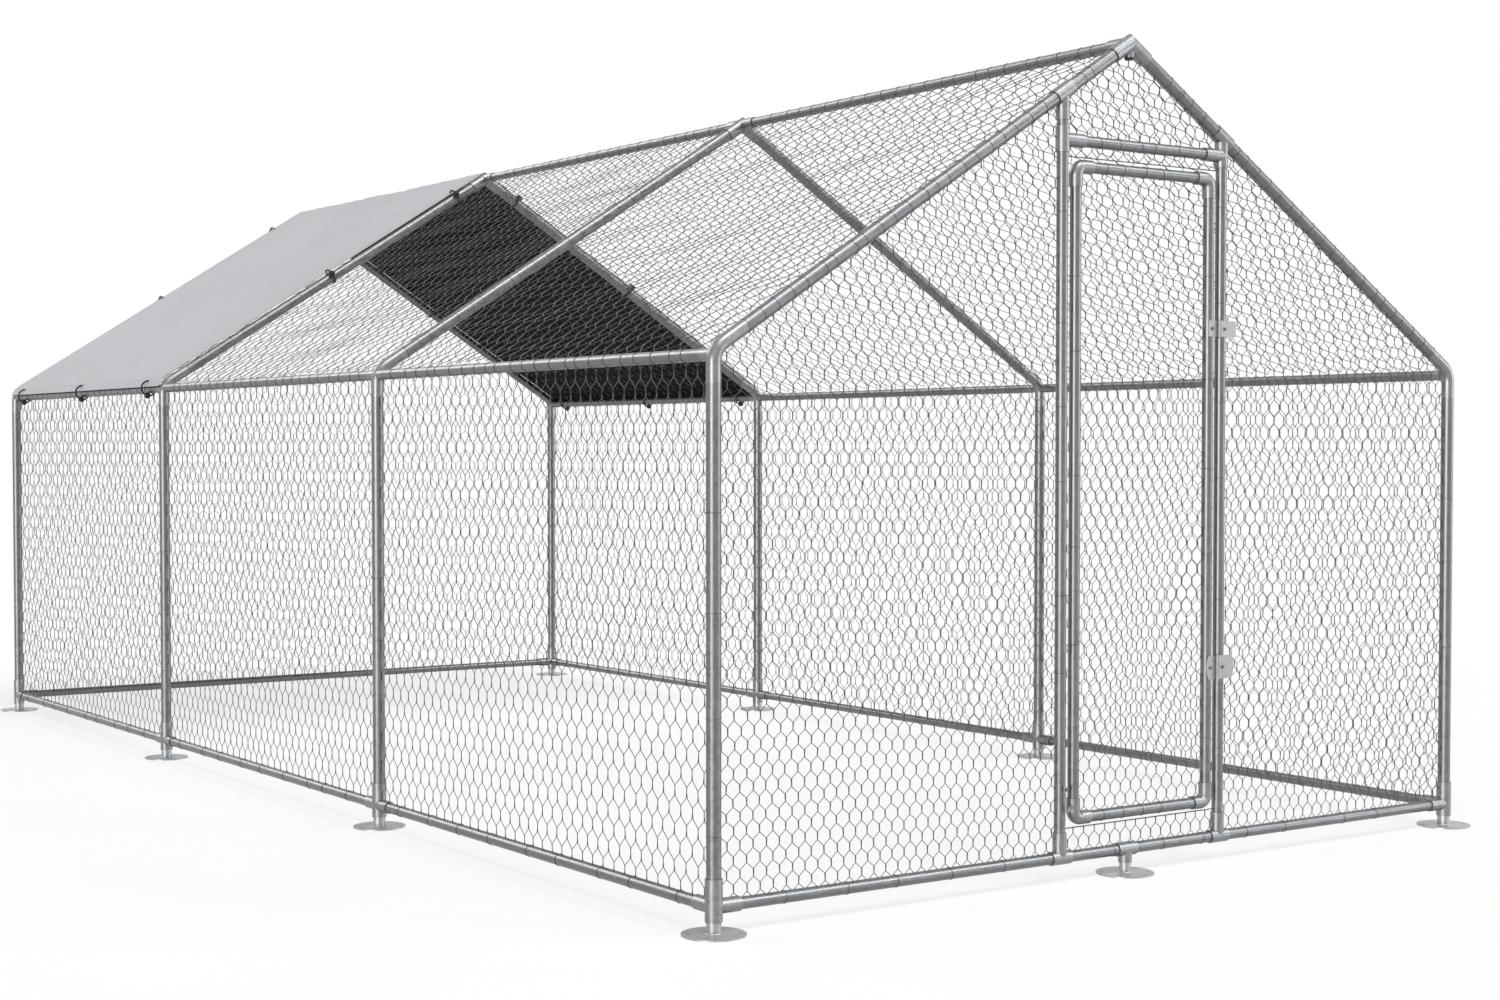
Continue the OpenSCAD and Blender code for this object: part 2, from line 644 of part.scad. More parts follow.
module net_wall(side) {
    color(wire) for (b = [0:bay_count - 1]) {
        top = eave_z - (shaded(b) ? tie_clear : rail_r + net_gap);
        low = [hoop_y(b) + net_side, net_low];
        high = [hoop_y(b + 1) - net_side, top];
        translate([side * side_x, 0, 0]) rotate([90, 0, 90]) net_rectangle(low, high);
    }
}
module net_roof(side) {
    color(wire) for (b = [0:bay_count - 1]) {
        low = [shaded(b) ? tie_clear : rail_r + net_gap, hoop_y(b) + tie_clear];
        high = [rafter_len - rail_sleeve - net_gap, hoop_y(b + 1) - tie_clear];
        on_side(side) translate([-side_x, 0, corner_z]) rotate([0, -pitch, 0]) net_rectangle(low, high);
    }
}
module net_front(side, jamb_x) {
    edge = abs(jamb_x) + net_beside_jamb;
    corners = [[-side_x + net_side, net_low], [-edge, net_low], [-edge, slope_net_z(edge)]];
    color(wire) on_side(side) in_gable(front_y) net_panel(concat(corners, bend_edge(net_side)));
}
module net_front_gable() {
    left = jamb_left_x + net_beside_jamb;
    right = jamb_right_x - net_beside_jamb;
    low = lintel_z + net_beside_jamb;
    apex_x = (gable_top(net_side) - net_apex) / tan(pitch);
    color(wire) in_gable(front_y) net_panel([[left, low], [right, low], [right, slope_net_z(right)],
        [apex_x, net_apex], [-apex_x, net_apex], [left, slope_net_z(left)]]);
}
module net_door_strips() {
    left = jamb_left_x + net_beside_jamb;
    right = jamb_right_x - net_beside_jamb;
    color(wire) in_gable(front_y) {
        net_rectangle([left, net_low], [right, door_bottom_z - rail_sleeve - strip_gap], strip_mesh_r);
        net_rectangle([left, door_top_z + rail_sleeve + strip_gap], [right, lintel_z - net_beside_jamb],
            strip_mesh_r);
    }
}
module net_rear() {
    apex_x = (gable_top(net_rear_side) - net_apex) / tan(pitch);
    bend = bend_edge(net_rear_side);
    right_bend = reversed([for (p = bend) flip(p)]);
    edge = side_x - net_rear_side;
    color(wire) in_gable(rear_y) net_panel(concat(
        [[-edge, net_low], [edge, net_low]], right_bend, [[apex_x, net_apex], [-apex_x, net_apex]], bend));
}
module net_door() {
    low = [stile_left_x + door_net_side, door_bottom_z + door_net_side];
    high = [stile_right_x - door_net_side, door_top_z - door_net_side];
    color(wire) in_gable(front_y) net_rectangle(low, high);
}

// Tarpaulin over the rear bay, folded at the ridge and turned down over the eave bends
function tarp_line(n) = concat(
    [for (a = tarp_arc) about_bend(bend_r + n, a)],
    [[0, ridge_z + n / cos(pitch)]],
    [for (k = [len(tarp_arc) - 1:-1:0]) flip(about_bend(bend_r + n, tarp_arc[k]))]);
module tarp() {
    color(silver) difference() {
        translate([0, tarp_to, 0]) rotate([90, 0, 0]) linear_extrude(tarp_to - tarp_from)
            polygon(concat(tarp_line(tarp_inner_n + tarp_t), reversed(tarp_line(tarp_inner_n))));
        each_eave_tie() to_eave_eyelet() cylinder(h = 4 * tarp_t + 2 * eyelet_r, r = eyelet_r, center = true);
        each_rafter_tie() translate([0, tie_side, tarp_mid_n])
            cylinder(h = 4 * tarp_t, r = eyelet_r, center = true);
    }
}
// Places each eave tie at the eave tube's axis, with X outwards
module each_eave_tie() {
    for (side = [-1, 1], place = tie_places)
        on_side(side) translate([-eave_x, hoop_y(hoop_count - 2) + place * bay_len, eave_z])
            mirror([1, 0, 0]) children();
}
module to_eave_eyelet() {
    a = rail_turn + tie_swing;
    spot = about_bend(tarp_mid_r, a) - [-eave_x, eave_z];
    translate([-spot[0], 0, spot[1]]) rotate([0, 90 - a, 0]) children();
}
// Places each rafter tie at the rafter's axis, with Z out of the roof and Y towards the shaded bay
module each_rafter_tie() {
    for (side = [-1, 1], i = [hoop_count - 2, hoop_count - 1], place = rafter_tie_places)
        on_side(side) at_left_corner(i) rotate([0, -pitch, 0])
            translate([place * rafter_len, 0, 0]) mirror([0, i == hoop_count - 1 ? 1 : 0, 0]) children();
}
module tie_ring(cord) { rotate_extrude() translate([tie_r, 0]) circle(cord); }
module eave_ring(cord) {
    rotate([0, -rail_turn, 0]) translate([rail_tie_shift, 0, 0]) rotate([90, 0, 0]) tie_ring(cord);
}
module rafter_ring(cord) { translate([0, 0, hoop_tie_shift]) to_x() tie_ring(cord); }
module tarp_tie_loops() {
    color(black) {
        each_eave_tie() eave_ring(tie_cord_r);
        each_rafter_tie() rafter_ring(tie_cord_r);
    }
}
module tarp_tie_balls() {
    color(black) {
        each_eave_tie() difference() {
            rotate([0, -rail_turn, 0]) translate([rail_tie_shift, 0, 0]) rotate([0, rail_ball_turn, 0])
                translate([tie_r, 0, 0]) sphere(tie_ball_r);
            eave_ring(tie_cord_r + pin_fit);
        }
        each_rafter_tie() difference() {
            translate([0, 0, hoop_tie_shift]) rotate([hoop_ball_turn, 0, 0]) translate([0, 0, tie_r])
                sphere(tie_ball_r);
            rafter_ring(tie_cord_r + pin_fit);
        }
    }
}

post(-1, 0);  // post_left_1
post(-1, 1);  // post_left_2
post(-1, 2);  // post_left_3
post(-1, 3);  // post_left_4
post(1, 0);  // post_right_1
post(1, 1);  // post_right_2
post(1, 2);  // post_right_3
post(1, 3);  // post_right_4
rafter(-1, 0);  // rafter_left_1
rafter(-1, 1);  // rafter_left_2
rafter(-1, 2);  // rafter_left_3
rafter(-1, 3);  // rafter_left_4
rafter(1, 0);  // rafter_right_1
rafter(1, 1);  // rafter_right_2
rafter(1, 2);  // rafter_right_3
rafter(1, 3);  // rafter_right_4
eave_bends(-1);  // eave_bends_left
eave_bends(1);  // eave_bends_right
ridge_bends();
ridge_plugs();
ridge_tubes();
eave_tubes(-1);  // eave_tubes_left
eave_tubes(1);  // eave_tubes_right
base_tubes(-1);  // base_tubes_left
base_tubes(1);  // base_tubes_right
cross_tube(front_y);  // base_tube_front
cross_tube(rear_y);  // base_tube_rear
base_corner_fittings();
base_side_tees();
foot_plates();
centre_foot();
centre_foot_tee();
jamb(jamb_left_x);  // door_jamb_left
jamb(jamb_right_x);  // door_jamb_right
lintel();  // door_lintel
jamb_base_tees();
jamb_top_tees();
lintel_tee();
net_wall(-1);  // net_wall_left
net_wall(1);  // net_wall_right
net_roof(-1);  // net_roof_left
net_roof(1);  // net_roof_right
net_front(-1, jamb_left_x);  // net_front_left
net_front(1, jamb_right_x);  // net_front_right
net_front_gable();
net_door_strips();
net_rear();
tarp();
tarp_tie_loops();
tarp_tie_balls();
hinge_jamb_leaves();
hinge_pins();
jamb_bolts();
door_hook();
for (x = [stile_left_x, stile_right_x]) door_stile(x);  // door_stiles
door_rails();
door_elbows();
net_door();  // door_net
hinge_door_leaves();
door_bolts();
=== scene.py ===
import json
import math

import bpy
import numpy as np
from mathutils import Matrix, Vector


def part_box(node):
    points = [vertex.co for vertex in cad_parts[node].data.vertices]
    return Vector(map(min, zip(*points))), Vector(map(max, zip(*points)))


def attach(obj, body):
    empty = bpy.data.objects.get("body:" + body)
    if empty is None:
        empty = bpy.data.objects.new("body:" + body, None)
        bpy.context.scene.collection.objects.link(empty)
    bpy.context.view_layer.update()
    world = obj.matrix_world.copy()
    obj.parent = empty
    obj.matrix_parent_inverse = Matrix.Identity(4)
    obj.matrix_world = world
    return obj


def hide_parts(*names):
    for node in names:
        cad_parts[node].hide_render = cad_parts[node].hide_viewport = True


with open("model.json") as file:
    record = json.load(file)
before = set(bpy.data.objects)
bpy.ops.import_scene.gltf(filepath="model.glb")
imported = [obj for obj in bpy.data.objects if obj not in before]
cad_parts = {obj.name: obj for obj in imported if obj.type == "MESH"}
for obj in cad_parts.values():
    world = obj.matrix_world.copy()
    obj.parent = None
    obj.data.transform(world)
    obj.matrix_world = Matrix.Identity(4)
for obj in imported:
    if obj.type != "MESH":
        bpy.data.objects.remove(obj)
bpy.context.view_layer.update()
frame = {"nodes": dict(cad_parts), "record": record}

# Sizes of the frame, in metres
SIDE_X = 1.4
HOOP_Y = (-2.85, -0.95, 0.95, 2.85)
BAY = 1.9
RIDGE_Z = 2.33
CORNER_Z = 1.443
BASE_Z = 0.07
HOOP_R = 0.019
RAIL_R = 0.016
HOOP_SLEEVE = 0.02245
BEND_R = 0.06
# Where the eave tube meets the bend, as a turn from the post's top
RAIL_TURN = math.radians(20)
# Slope of the roof, turn of an eave bend, and distances from the hoop's sharp corner:
# to the ridge, and to where the bend ends
RISE = RIDGE_Z - CORNER_Z
PITCH = math.atan2(RISE, SIDE_X)
TURN = math.pi / 2 - PITCH
RAFTER = math.hypot(SIDE_X, RISE)
BEND_TAN = BEND_R * math.tan(TURN / 2)
BEND_X = -SIDE_X + BEND_R
BEND_Z = CORNER_Z - BEND_TAN
EAVE_X = SIDE_X - BEND_R * (1 - math.cos(RAIL_TURN))
EAVE_Z = BEND_Z + BEND_R * math.sin(RAIL_TURN)
FRONT_Y = HOOP_Y[0]
REAR_Y = HOOP_Y[3]
BAYS = list(zip(HOOP_Y, HOOP_Y[1:]))

# The doorway, the door, its hinges and its hook
JAMB_LEFT = -0.25
JAMB_RIGHT = 0.37
STILE_LEFT = -0.2
STILE_RIGHT = 0.32
LINTEL_Z = sum(p[2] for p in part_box("door_lintel")) / 2
DOOR_DROP = 0.07
DOOR_LOW = 0.175
DOOR_HIGH = LINTEL_Z - DOOR_DROP
LOW_HINGE_UP = 0.39
HIGH_HINGE_DOWN = 0.43
HINGE_Z = (DOOR_LOW + LOW_HINGE_UP, DOOR_HIGH - HIGH_HINGE_DOWN)
HOOK_Z = 0.262

# Netting: mesh widths of the gable ends, the side walls and the roof
MESH_FRONT = 0.04
MESH_SIDE = 0.054
MESH_ROOF = 0.064
# Distance between rows and length of a twisted side, as shares of the mesh width
ROW_SHARE = 0.89
TWIST_SHARE = 0.46
# Turn of a twisted side from one end to the other
TWIST_TURN = 0.75 * math.pi
WIRE_R = 0.0012
EDGE_WIRE_R = 0.0017
TWIST_WIDE = 0.0021
TWIST_THIN = 0.0013
# How far a wire runs into the tube that holds it
HOLD = 0.006
# How far the wires wander from their places, and how deep the roof netting sags in each bay
SLACK = 0.0018
ROOF_SLACK = 0.005
STRIP_SLACK = 0.0005
DOOR_SLACK = 0.0012
ROOF_SAG = 0.014
# Longest and shortest waves of that wandering across a panel, up it and out of it
NET_WAVES = ((0.9, 0.11), (0.8, 0.1), (1.2, 0.2))
WAVE_COUNT = 6


def only(piece):
    """Selects one object and makes it active."""
    bpy.ops.object.select_all(action="DESELECT")
    piece.select_set(True)
    bpy.context.view_layer.objects.active = piece


def last_made(name):
    """Names the object that an operator has just added."""
    piece = bpy.context.object
    piece.name = name
    piece.data.name = name
    return piece


def settle(piece):
    """Puts an object's place, turn and scale into its mesh."""
    only(piece)
    bpy.ops.object.transform_apply(location=True, rotation=True, scale=True)
    return piece


def place(piece, matrix):
    """Moves a piece's mesh by a matrix."""
    piece.matrix_world = matrix
    return settle(piece)


def facing(spot, direction):
    """The matrix that puts a piece at a spot, with its Z along a direction."""
    turned = Vector(direction).to_track_quat("Z", "Y").to_matrix().to_4x4()
    return Matrix.Translation(spot) @ turned


def twin(piece, name):
    """A copy of a piece with a mesh of its own."""
    only(piece)
    bpy.ops.object.duplicate()
    return last_made(name)


def join(pieces, name):
    """Makes one piece of several."""
    bpy.ops.object.select_all(action="DESELECT")
    for piece in pieces:
        piece.select_set(True)
    bpy.context.view_layer.objects.active = pieces[0]
    if len(pieces) > 1:
        bpy.ops.object.join()
    return last_made(name)


def repeat(piece, count, step):
    """Repeats a piece in a row with an applied Array."""
    only(piece)
    row = piece.modifiers.new("Row", "ARRAY")
    row.use_relative_offset = False
    row.use_constant_offset = True
    row.constant_offset_displace = step
    row.count = count
    bpy.ops.object.modifier_apply(modifier=row.name)


def edit(piece):
    """Opens a piece in edit mode with all of it selected."""
    only(piece)
    bpy.ops.object.mode_set(mode="EDIT")
    bpy.ops.mesh.select_all(action="SELECT")


def done():
    bpy.ops.object.mode_set(mode="OBJECT")


def clear_selection(piece, kind):
    """Leaves nothing selected in a piece, so that code can select vertices or edges."""
    edit(piece)
    bpy.ops.mesh.select_mode(type=kind)
    bpy.ops.mesh.select_all(action="DESELECT")
    done()


def points(piece):
    """A piece's vertices as an array."""
    found = np.empty(3 * len(piece.data.vertices))
    piece.data.vertices.foreach_get("co", found)
    return found.reshape(-1, 3)


def set_points(piece, places):
    piece.data.vertices.foreach_set("co", places.ravel())
    piece.data.update()


def corner_points(piece):
    """The vertex of each face corner, in the order of a UV map."""
    corners = np.empty(len(piece.data.loops), dtype=np.int64)
    piece.data.loops.foreach_get("vertex_index", corners)
    return corners


def rod(start, end, radius, sides, name="rod"):
    """An open length of wire from one point to another."""
    start = Vector(start)
    run = Vector(end) - start
    bpy.ops.object.select_all(action="DESELECT")
    bpy.ops.mesh.primitive_cylinder_add(
        vertices=sides, radius=radius, depth=run.length, end_fill_type="NOTHING",
        location=start + run / 2, rotation=run.to_track_quat("Z", "Y").to_euler())
    return settle(last_made(name))


def ring(name, radius, wire, around, sides):
    """A ring of wire that lies flat at the origin."""
    bpy.ops.object.select_all(action="DESELECT")
    bpy.ops.mesh.primitive_torus_add(
        major_segments=around, minor_segments=sides, major_radius=radius, minor_radius=wire)
    return last_made(name)


def smooth(piece, angle):
    only(piece)
    bpy.ops.object.shade_smooth_by_angle(angle=math.radians(angle))
    return piece


class Signal:
    """A socket in a node tree, with arithmetic on its values."""

    def __init__(self, nodes, socket):
        self.nodes = nodes
        self.socket = socket

    def maths(self, operation, first, second):
        return self.nodes.add("ShaderNodeMath", {"operation": operation}, {0: first, 1: second})

    def __add__(self, other):
        return self.maths("ADD", self, other)

    def __radd__(self, other):
        return self.maths("ADD", other, self)

    def __sub__(self, other):
        return self.maths("SUBTRACT", self, other)

    def __rsub__(self, other):
        return self.maths("SUBTRACT", other, self)

    def __mul__(self, other):
        return self.maths("MULTIPLY", self, other)

    def __rmul__(self, other):
        return self.maths("MULTIPLY", other, self)

    def over(self, edge, soft):
        """0 below edge and 1 above it, over a soft step."""
        settings = {"interpolation_type": "SMOOTHSTEP"}
        values = {"Value": self, "From Min": edge - soft, "From Max": edge + soft}
        return self.nodes.add("ShaderNodeMapRange", settings, values)


class Nodes:
    """A node tree."""

    def __init__(self, tree):
        self.tree = tree

    def add(self, kind, settings=None, values=None, out=0):
        """Adds a node with its settings and the values or links of its sockets."""
        node = self.tree.nodes.new(kind)
        for key, value in (settings or {}).items():
            if key == "stops":
                self.set_stops(node.color_ramp, value)
            else:
                setattr(node, key, value)
        for key, value in (values or {}).items():
            if isinstance(value, Signal):
                self.tree.links.new(value.socket, node.inputs[key])
            else:
                node.inputs[key].default_value = value
        return Signal(self, node.outputs[out])

    def set_stops(self, ramp, stops):
        while len(ramp.elements) < len(stops):
            ramp.elements.new(1)
        for element, (position, colour) in zip(ramp.elements, stops):
            element.position = position
            element.color = (*colour, 1)

    def seen(self):
        """1 for camera rays and for those that a glossy or clear surface sends on, 0 for the others."""
        kinds = ("Is Camera Ray", "Is Glossy Ray", "Is Transmission Ray")
        camera, glossy, clear = [self.add("ShaderNodeLightPath", out=kind) for kind in kinds]
        return camera + glossy + clear

    def show(self, output, shader):
        """Makes a shader the one that the tree puts out."""
        self.tree.links.new(shader.socket, self.tree.nodes[output].inputs[0])


class Finish(Nodes):
    """A material with one Principled surface. Constants are named as its sockets are."""

    def __init__(self, name, **constants):
        self.material = bpy.data.materials.new(name)
        self.material.use_nodes = True
        super().__init__(self.material.node_tree)
        self.surface = self.tree.nodes["Principled BSDF"]
        for socket, value in constants.items():
            self.surface.inputs[socket.replace("_", " ")].default_value = value

    def where(self, out="Object"):
        return self.add("ShaderNodeTexCoord", out=out)

    def noise(self, scale, detail, rough=0.5, at=None):
        values = {"Vector": at or self.where(), "Scale": scale, "Detail": detail, "Roughness": rough}
        return self.add("ShaderNodeTexNoise", None, values, "Fac")

    def crystals(self, scale):
        """One grey for each cell of a pattern of crystals."""
        cells = self.add("ShaderNodeTexVoronoi", None, {"Vector": self.where(), "Scale": scale}, "Color")
        return self.add("ShaderNodeSeparateColor", None, {0: cells})

    def stretched(self, scale):
        """Object coordinates, stretched along the axes that have small scales."""
        return self.add("ShaderNodeMapping", None, {"Vector": self.where(), "Scale": scale})

    def ramp(self, value, stops):
        return self.add("ShaderNodeValToRGB", {"stops": stops}, {0: value}, "Color")

    def mix(self, factor, first, second):
        values = {"Factor": factor, 6: first, 7: second}
        return self.add("ShaderNodeMix", {"data_type": "RGBA"}, values, 2)

    def bump(self, height, strength, distance):
        values = {"Height": height, "Strength": strength, "Distance": distance}
        self.link("Normal", self.add("ShaderNodeBump", None, values))

    def link(self, socket, value):
        self.tree.links.new(value.socket, self.surface.inputs[socket])


NEUTRAL = (1.0, 1.0, 1.0)
COOL = (0.97, 1.0, 1.03)
LILAC = (1.0, 0.98, 1.03)


def grey(value, tint=NEUTRAL):
    return tuple(value * t for t in tint)


def greys(dark, pale, tint=NEUTRAL):
    """The stops of a ramp from a dark grey to a pale one."""
    return [(0.3, grey(dark, tint)), (0.7, grey(pale, tint))]


def zinc_finish(name, dark, pale, crystal, rough, metal):
    """Hot-dip zinc: crystals of slightly different greys under a cloudy white bloom."""
    finish = Finish(name, Metallic=metal, IOR=1.45)
    crystals = finish.crystals(crystal)
    cloud = finish.noise(7, 4, 0.55)
    fine = finish.noise(160, 2)
    tone = cloud * 0.5 + crystals * 0.36 + fine * 0.14
    middle = (dark + pale) / 2
    stops = [(0.25, grey(dark, COOL)), (0.5, grey(middle, COOL)), (0.75, grey(pale, COOL))]
    finish.link("Base Color", finish.ramp(tone, stops))
    finish.link("Roughness", crystals * 0.1 + cloud * 0.1 + (rough - 0.1))
    finish.bump(crystals * 0.4 + fine * 0.6, 0.04, 0.0003)
    return finish.material


def wire_finish():
    """Drawn wire with a dull zinc coat that is darker in patches."""
    finish = Finish("zinc_wire", Metallic=0.25, IOR=1.5, Specular_IOR_Level=0.3)
    patch = finish.noise(5, 3)
    fine = finish.noise(90, 2)
    finish.link("Base Color", finish.ramp(patch * 0.7 + fine * 0.3, greys(0.05, 0.09, COOL)))
    finish.link("Roughness", fine * 0.2 + 0.35)
    return finish.material


def plated_finish(name, dark, pale):
    """Pressed hardware with zinc plating and a fine brushed grain."""
    finish = Finish(name, Metallic=0.75, IOR=1.6)
    cloud = finish.noise(45, 4, 0.6)
    grain = finish.noise(1, 2, at=finish.stretched((160, 160, 900)))
    finish.link("Base Color", finish.ramp(cloud * 0.6 + grain * 0.4, greys(dark, pale)))
    finish.link("Roughness", grain * 0.2 + cloud * 0.1 + 0.38)
    finish.bump(grain, 0.08, 0.0004)
    return finish.material


# Rough size of the tarpaulin, the depth of its welded hem and the width of two of its woven tapes
SHEET_SIZE = (3.39, 1.91)
HEM = 0.035
TAPE = 0.008
# Half the width of the line of weld along the hem, and how softly it ends; the line is drawn darker, partly
# as painted shade at the hem's step
WELD_HALF = 0.002
WELD_SOFT = 0.001


def cloth_finish(name, dark, pale, rough, tint, coat, gloss):
    """Coated woven tape: crossed ribs under a thin film, with soft creases that carry painted shade in their
    troughs and painted light on their crests.
    """
    finish = Finish(name, IOR=1.45, Coat_Roughness=0.45, Coat_Weight=coat, Specular_IOR_Level=gloss)
    u = finish.add("ShaderNodeSeparateXYZ", None, {0: finish.where("UV")}, "X")
    v = finish.add("ShaderNodeSeparateXYZ", None, {0: finish.where("UV")}, "Y")
    turns = 2 * math.pi / TAPE
    warp = finish.add("ShaderNodeMath", {"operation": "SINE"}, {0: u * (SHEET_SIZE[0] * turns)})
    weft = finish.add("ShaderNodeMath", {"operation": "SINE"}, {0: v * (SHEET_SIZE[1] * turns)})
    weave = warp * weft * 0.5 + 0.5
    sides = []
    for share, size in zip((u, v), SHEET_SIZE):
        from_middle = finish.add("ShaderNodeMath", {"operation": "ABSOLUTE"}, {0: share - 0.5})
        sides.append((0.5 - from_middle) * size)
    from_edge = sides[0].maths("MINIMUM", *sides)
    # A thin line of weld where the hem ends, sunk in and darker: partly the weld's own tone, partly painted
    # shade at the hem's step
    past_weld = from_edge.over(HEM + WELD_HALF, WELD_SOFT)
    weld = from_edge.over(HEM - WELD_HALF, WELD_SOFT) * (1 - past_weld)
    # The creases' noise also sets the colour: painted shade in their troughs, painted light on their crests
    crease = finish.noise(3.5, 6, 0.62)
    grime = finish.noise(1.3, 3)
    tone = crease * 0.5 + grime * 0.3 + weave * 0.2 - weld * 0.3
    finish.link("Base Color", finish.ramp(tone, greys(dark, pale, tint)))
    finish.link("Roughness", crease * 0.16 + weave * 0.06 + (rough - 0.1))
    finish.bump(weave * 0.12 + crease - weld * 0.3, 0.25, 0.004)
    return finish.material


def black_finish(name, dark, pale, scale, rough):
    """Moulded black with a fine grain."""
    finish = Finish(name, IOR=1.48, Specular_IOR_Level=0.2)
    grain = finish.noise(scale, 4, 0.6)
    finish.link("Base Color", finish.ramp(grain, greys(dark, pale)))
    finish.link("Roughness", grain * 0.2 + (rough - 0.1))
    finish.bump(grain, 0.15, 0.0005)
    return finish.material


TUBE = zinc_finish("zinc_tube", 0.15, 0.19, crystal=70, rough=0.36, metal=0.85)
FITTING = zinc_finish("zinc_fitting", 0.2, 0.25, crystal=110, rough=0.38, metal=0.85)
WIRE = wire_finish()
FOOT = zinc_finish("zinc_foot", 0.34, 0.42, crystal=90, rough=0.36, metal=0.6)
PLATED = plated_finish("bright_zinc", 0.25, 0.33)
# The bolts are far darker than the plated leaves: duller zinc, and painted shade on the bolt heads
BOLT_PAINTED_SHADE = plated_finish("dull_zinc_painted_shade", 0.1, 0.16)
SILVER = cloth_finish("tarp_silver", 0.41, 0.49, rough=0.6, tint=LILAC, coat=0.02, gloss=0.06)
LINING = cloth_finish("tarp_black", 0.006, 0.012, rough=0.7, tint=NEUTRAL, coat=0.0, gloss=0.05)
ELASTIC = black_finish("black_elastic", 0.012, 0.03, scale=400, rough=0.6)
PLASTIC = black_finish("black_plastic", 0.014, 0.028, scale=250, rough=0.42)

FINISHES = {
    "galvanised_tube": TUBE,
    "galvanised_fitting": FITTING,
    "galvanised_wire": WIRE,
    "zinc_hardware": PLATED,
    "tarp_fabric": SILVER,
    "black_elastic": ELASTIC,
    "black_plastic": PLASTIC,
}
# Nodes that differ a little from the others of their slot; the bolts are darker, with painted shade on their
# heads
OWN_FINISHES = {
    "foot_plates": FOOT,
    "centre_foot": FOOT,
    "jamb_bolts": BOLT_PAINTED_SHADE,
    "door_bolts": BOLT_PAINTED_SHADE,
}
for part in frame["record"]["subparts"]:
    solid = frame["nodes"][part["node"]]
    finish = OWN_FINISHES.get(part["node"]) or FINISHES[part["material_slot"]]
    if not solid.material_slots:
        solid.data.materials.append(finish)
    for held in solid.material_slots:
        held.material = finish


def dress(piece, finish, body):
    """Gives a piece its finish and the body that it moves with."""
    piece.data.materials.clear()
    piece.data.materials.append(finish)
    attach(piece, body)
    return piece


def twist_of_wires(x, y, length):
    """One twisted side of a mesh: two wires wound round each other."""
    side = rod((0, 0, -length / 2), (0, 0, length / 2), 1.0, 4, "twist")
    clear_selection(side, "EDGE")
    for edge in side.data.edges:
        ends = [side.data.vertices[k].co.z for k in edge.vertices]
        edge.select = abs(ends[0] - ends[1]) > length / 2
    bpy.ops.object.mode_set(mode="EDIT")
    bpy.ops.mesh.subdivide(number_cuts=1)
    done()
    shape = points(side)
    turn = shape[:, 2] / length * TWIST_TURN
    wide = shape[:, 0] * TWIST_WIDE
    thin = shape[:, 1] * TWIST_THIN
    across = wide * np.cos(turn) - thin * np.sin(turn)
    out = wide * np.sin(turn) + thin * np.cos(turn)
    set_points(side, np.stack([x + across, y + shape[:, 2], out], axis=1))
    return side


def mesh_repeat(width):
    """Two rows of the netting: their twisted sides and the wires that lead from one to the next."""
    row = width * ROW_SHARE
    twist = width * TWIST_SHARE
    half = twist / 2
    middle = width / 2
    parts = [twist_of_wires(0, 0, twist), twist_of_wires(middle, row, twist)]
    for step in (-middle, middle):
        parts.append(rod((0, half, 0), (step, row - half, 0), WIRE_R, 3))
        parts.append(rod((middle, row + half, 0), (middle + step, 2 * row - half, 0), WIRE_R, 3))
    return join(parts, "mesh_repeat")


WEAVES = {width: mesh_repeat(width) for width in (MESH_FRONT, MESH_SIDE, MESH_ROOF)}


def trim(piece, outline):
    """Cuts a patch of netting down to a convex outline, given anticlockwise."""
    only(piece)
    bpy.ops.object.mode_set(mode="EDIT")
    for k, corner in enumerate(outline):
        ahead = outline[(k + 1) % len(outline)]
        outwards = Vector((ahead[1] - corner[1], corner[0] - ahead[0], 0)).normalized()
        bpy.ops.mesh.select_all(action="SELECT")
        bpy.ops.mesh.bisect(plane_co=(corner[0], corner[1], 0), plane_no=outwards,
                            use_fill=False, clear_inner=False, clear_outer=True)
    done()


def patch_of(outline, width):
    """Flat netting that fills an outline, cut from two more repeats than it needs each way."""
    low = [min(p[k] for p in outline) for k in (0, 1)]
    high = [max(p[k] for p in outline) for k in (0, 1)]
    rise = 2 * width * ROW_SHARE
    patch = twin(WEAVES[width], "patch")
    patch.location = (math.floor(low[0] / width) * width, math.floor(low[1] / rise) * rise, 0)
    settle(patch)
    repeat(patch, math.ceil((high[0] - low[0]) / width) + 2, (width, 0, 0))
    repeat(patch, math.ceil((high[1] - low[1]) / rise) + 2, (0, rise, 0))
    trim(patch, outline)
    return patch


def waver(places, seed, reach, longest, shortest):
    """A smooth wandering value over a flat panel, from a few crossing waves."""
    dice = np.random.default_rng(seed)
    total = np.zeros(len(places))
    for length in np.geomspace(longest, shortest, WAVE_COUNT):
        angle = dice.uniform(0, 2 * math.pi)
        along = places[:, 0] * math.cos(angle) + places[:, 1] * math.sin(angle)
        total += np.sin(2 * math.pi * along / length + dice.uniform(0, 2 * math.pi))
    return total * reach / WAVE_COUNT ** 0.5


def bake_map(piece):
    """A flat map of the panel, slanted so that each side of a wire has some width in it."""
    flat = points(piece)
    spread = np.stack([flat[:, 0] + flat[:, 2] / 2, flat[:, 1] + flat[:, 2] / 3], axis=1)
    spread -= spread.min(axis=0)
    spread /= spread.max() * 1.01
    layer = piece.data.uv_layers.get("OFBake") or piece.data.uv_layers.new(name="OFBake")
    layer.data.foreach_set("uv", spread[corner_points(piece)].ravel())


